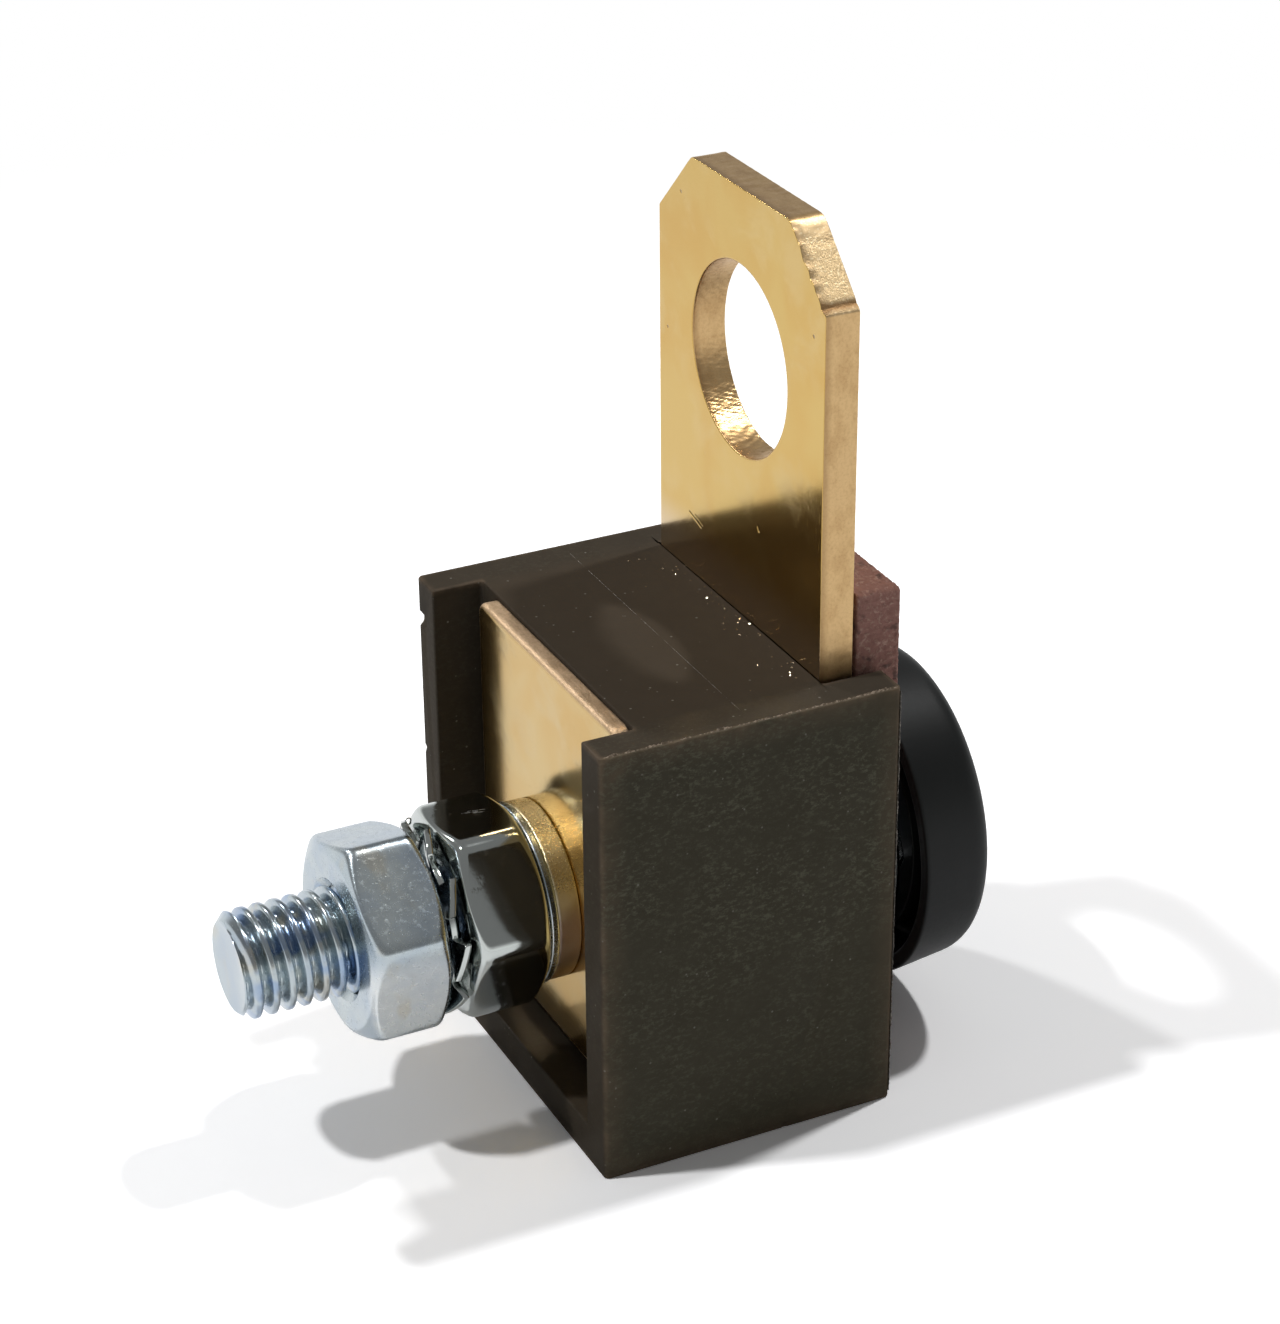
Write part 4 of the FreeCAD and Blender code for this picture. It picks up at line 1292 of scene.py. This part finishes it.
washer_grids = [make_lock_washer(), make_curl()]
make_piece("toothed_washer", washer_grids, bright, "bright_zinc", "washer", "lock_washer")

# %% [markdown]
# ## Cap
# The cap is moulded in black plastic with a satin skin. It is a shallow cup with a hexagon socket
# inside that is pushed over the screw's head.

# %% Cap finish and cap
def make_cap_finish():
    """Near black, with a faint bloom and a satin skin."""
    finish = Finish("cap_black")
    skin = finish.noise(0.25, 3.0, 0.6)
    bloom = finish.noise(4.0, 2.0, 0.5)
    finish.set("Specular IOR Level", 0.20)
    black = finish.mix((0.005, 0.006, 0.006), (0.010, 0.011, 0.011), bloom)
    finish.skin(black, 0.40 + skin * 0.10, skin, 0.006)
    return finish


CAP_WALL = 0.9
CAP_BACK = 1.3
CAP_REAR_RADIUS = 9.5
GRIP_WALL = 1.0
GRIP_DEPTH = 2.9
GRIP_GAP = 0.05


def make_cap():
    """A cup's closed section: the back and the outer wall, the rim, the inside, and the grip's socket."""
    low, high = box_mm("screw_cap")
    angle = hexagon_angles(0, even=120)
    rim = (high[Z] - low[Z]) / 2
    rear, mouth = -high[Y], -low[Y]
    floor = rear + CAP_BACK
    socket = hexagon(angle, 0) + GRIP_GAP
    grip = ACROSS_FLATS / np.sqrt(3) + GRIP_WALL
    grip_end = floor + GRIP_DEPTH
    inner_rear = CAP_REAR_RADIUS - CAP_WALL
    radii = (0.0, CAP_REAR_RADIUS, rim, rim - CAP_WALL, inner_rear, grip, grip, socket, socket, 0.0)
    places = (rear, rear, mouth, mouth, floor, floor, grip_end, grip_end, floor, floor)
    corners = [column(angle, radius, place) for radius, place in zip(radii, places)]
    reach = [0, 1.2, 0.25, 0.2, 0.4, 0.3, 0.1, 0.1, 0.05, 0]
    return turn(softened(np.array(corners), reach, 8), angle)


make_piece("black_cap", [make_cap()], make_cap_finish(), "cap_black", "fuse", "screw_cap")

# %% [markdown]
# ## Hidden pieces
# The link and the sleeve stay as solids. They are out of sight, but they still get a finish of
# their own: dull rolled strip for the link and off-white plastic for the sleeve.

# %% Link and sleeve
def plain_finish(name, first, second, roughness, metallic=0.0):
    """Two colours in soft clouds."""
    finish = Finish(name, metallic=metallic)
    clouds = finish.noise(1.5, 3.0, 0.6)
    finish.skin(finish.mix(first, second, clouds), roughness + clouds * 0.1)
    return finish


def dress(node, finish):
    """Gives a solid that stays as it is a finish of its own."""
    piece = frame["nodes"][node]
    piece.data.materials.clear()
    piece.data.materials.append(finish.material)


dress("fuse_link", plain_finish("link_strip", (0.55, 0.36, 0.22), (0.40, 0.27, 0.18), 0.4, 1.0))
dress("insulating_sleeve", plain_finish("sleeve_plastic", (0.60, 0.59, 0.55), (0.50, 0.49, 0.45), 0.5))

# %% [markdown]
# ## Floor, lamps and background
# The object stands on white paper in soft light from three small lamps overhead: one in front, one
# behind and one at the left, which is what the three groups of shadows on the paper show. The paper
# shows itself as white wherever light reaches it and keeps the shadows.

# %% Floor and background
PAPER_HALF = 3000.0
GLOW_START = 75.0
GLOW_END = 170.0
WHITE = (1.0, 1.0, 1.0)
PAPER = (0.90, 0.90, 0.91)
PAPER_ON_FILM = (1.20, 1.20, 1.21)


def make_floor():
    """White paper, printed a little brighter to the lens, and plain white to all far from the block."""
    finish = Finish("white_paper", roughness=0.9)
    finish.set("Base Color", PAPER)
    x, y, _ = finish.axes()
    distance = (x * x + y * y).root()
    far = distance.rise(GLOW_START, GLOW_END)
    glow = finish.node("Emission", inputs={"Color": WHITE, "Strength": 1.0}, output="Emission")
    lit = Value(finish, finish.surface.outputs["BSDF"])
    seen = finish.rays("Camera", "Glossy", "Transmission")
    printed = finish.node("BsdfDiffuse", inputs={"Color": PAPER_ON_FILM}, output="BSDF")
    near = finish.node("MixShader", inputs={0: finish.rays("Camera"), 1: lit, 2: printed})
    mixed = finish.node("MixShader", inputs={0: seen * far, 1: near, 2: glow})
    finish.feed(finish.tree.nodes["Material Output"].inputs["Surface"], mixed)
    corners = np.array([(-1, -1, 0), (1, -1, 0), (1, 1, 0), (-1, 1, 0)]) * PAPER_HALF
    mesh = new_mesh("paper", corners, [(0, 1, 2, 3)])
    mesh.materials.append(finish.material)
    paper = add_object("paper", mesh)
    print("paper", round(2 * PAPER_HALF * MM, 1), "m wide")


WORLD_LEVEL = 0.19
CEILING = 0.24
HORIZON, OVERHEAD = 0.04, 0.34


def make_world():
    """White to the lens. Reflections see white at the horizon and a dim ceiling above it."""
    world = bpy.data.worlds.new("studio")
    bpy.context.scene.world = world
    world.use_nodes = True
    nodes = Nodes(world.node_tree)
    heading = nodes.node("TexCoord", output="Generated")
    up = Value(nodes, nodes.node("SeparateXYZ", inputs={0: heading}).socket.node.outputs[Z])
    mirrored = 1 - up.rise(HORIZON, OVERHEAD) * (1 - CEILING)
    seen = nodes.rays("Camera")
    shiny = nodes.rays("Glossy", "Transmission")
    level = seen + (1 - seen) * (shiny * mirrored + (1 - shiny) * WORLD_LEVEL)
    background = nodes.tree.nodes["Background"]
    nodes.feed(background.inputs["Color"], WHITE)
    nodes.feed(background.inputs["Strength"], level)


make_floor()
make_world()

# %% Lamps
LAMP_DISTANCE = 600.0
LAMP_AIM = (0, 0, 20)
LAMP_SIZE = 34


def make_lamp(name, azimuth, elevation, power):
    """A round lamp that looks at the block from a direction: degrees from +X, and above the floor."""
    data = bpy.data.lights.new(name, "AREA")
    data.shape = "DISK"
    data.size = LAMP_SIZE * MM
    data.energy = power
    lamp = add_object(name, data)
    level = np.cos(np.radians(elevation))
    heading = Vector((level * np.cos(np.radians(azimuth)), level * np.sin(np.radians(azimuth)),
                      np.sin(np.radians(elevation))))
    lamp.location = (heading * LAMP_DISTANCE + Vector(LAMP_AIM)) * MM
    lamp.rotation_mode = "QUATERNION"
    lamp.rotation_quaternion = heading.to_track_quat("Z", "Y")
    print(name, power, "W")


make_lamp("front_lamp", -105, 61, 1.72)
make_lamp("rear_lamp", 99, 64, 1.63)
make_lamp("left_lamp", -157, 38, 0.88)

# %% [markdown]
# ## Colour view
# Standard view keeps colours as they are written. The pieces made here have to stay inside the
# solids' box.

# %% Colour
bpy.context.scene.view_settings.view_transform = "Standard"
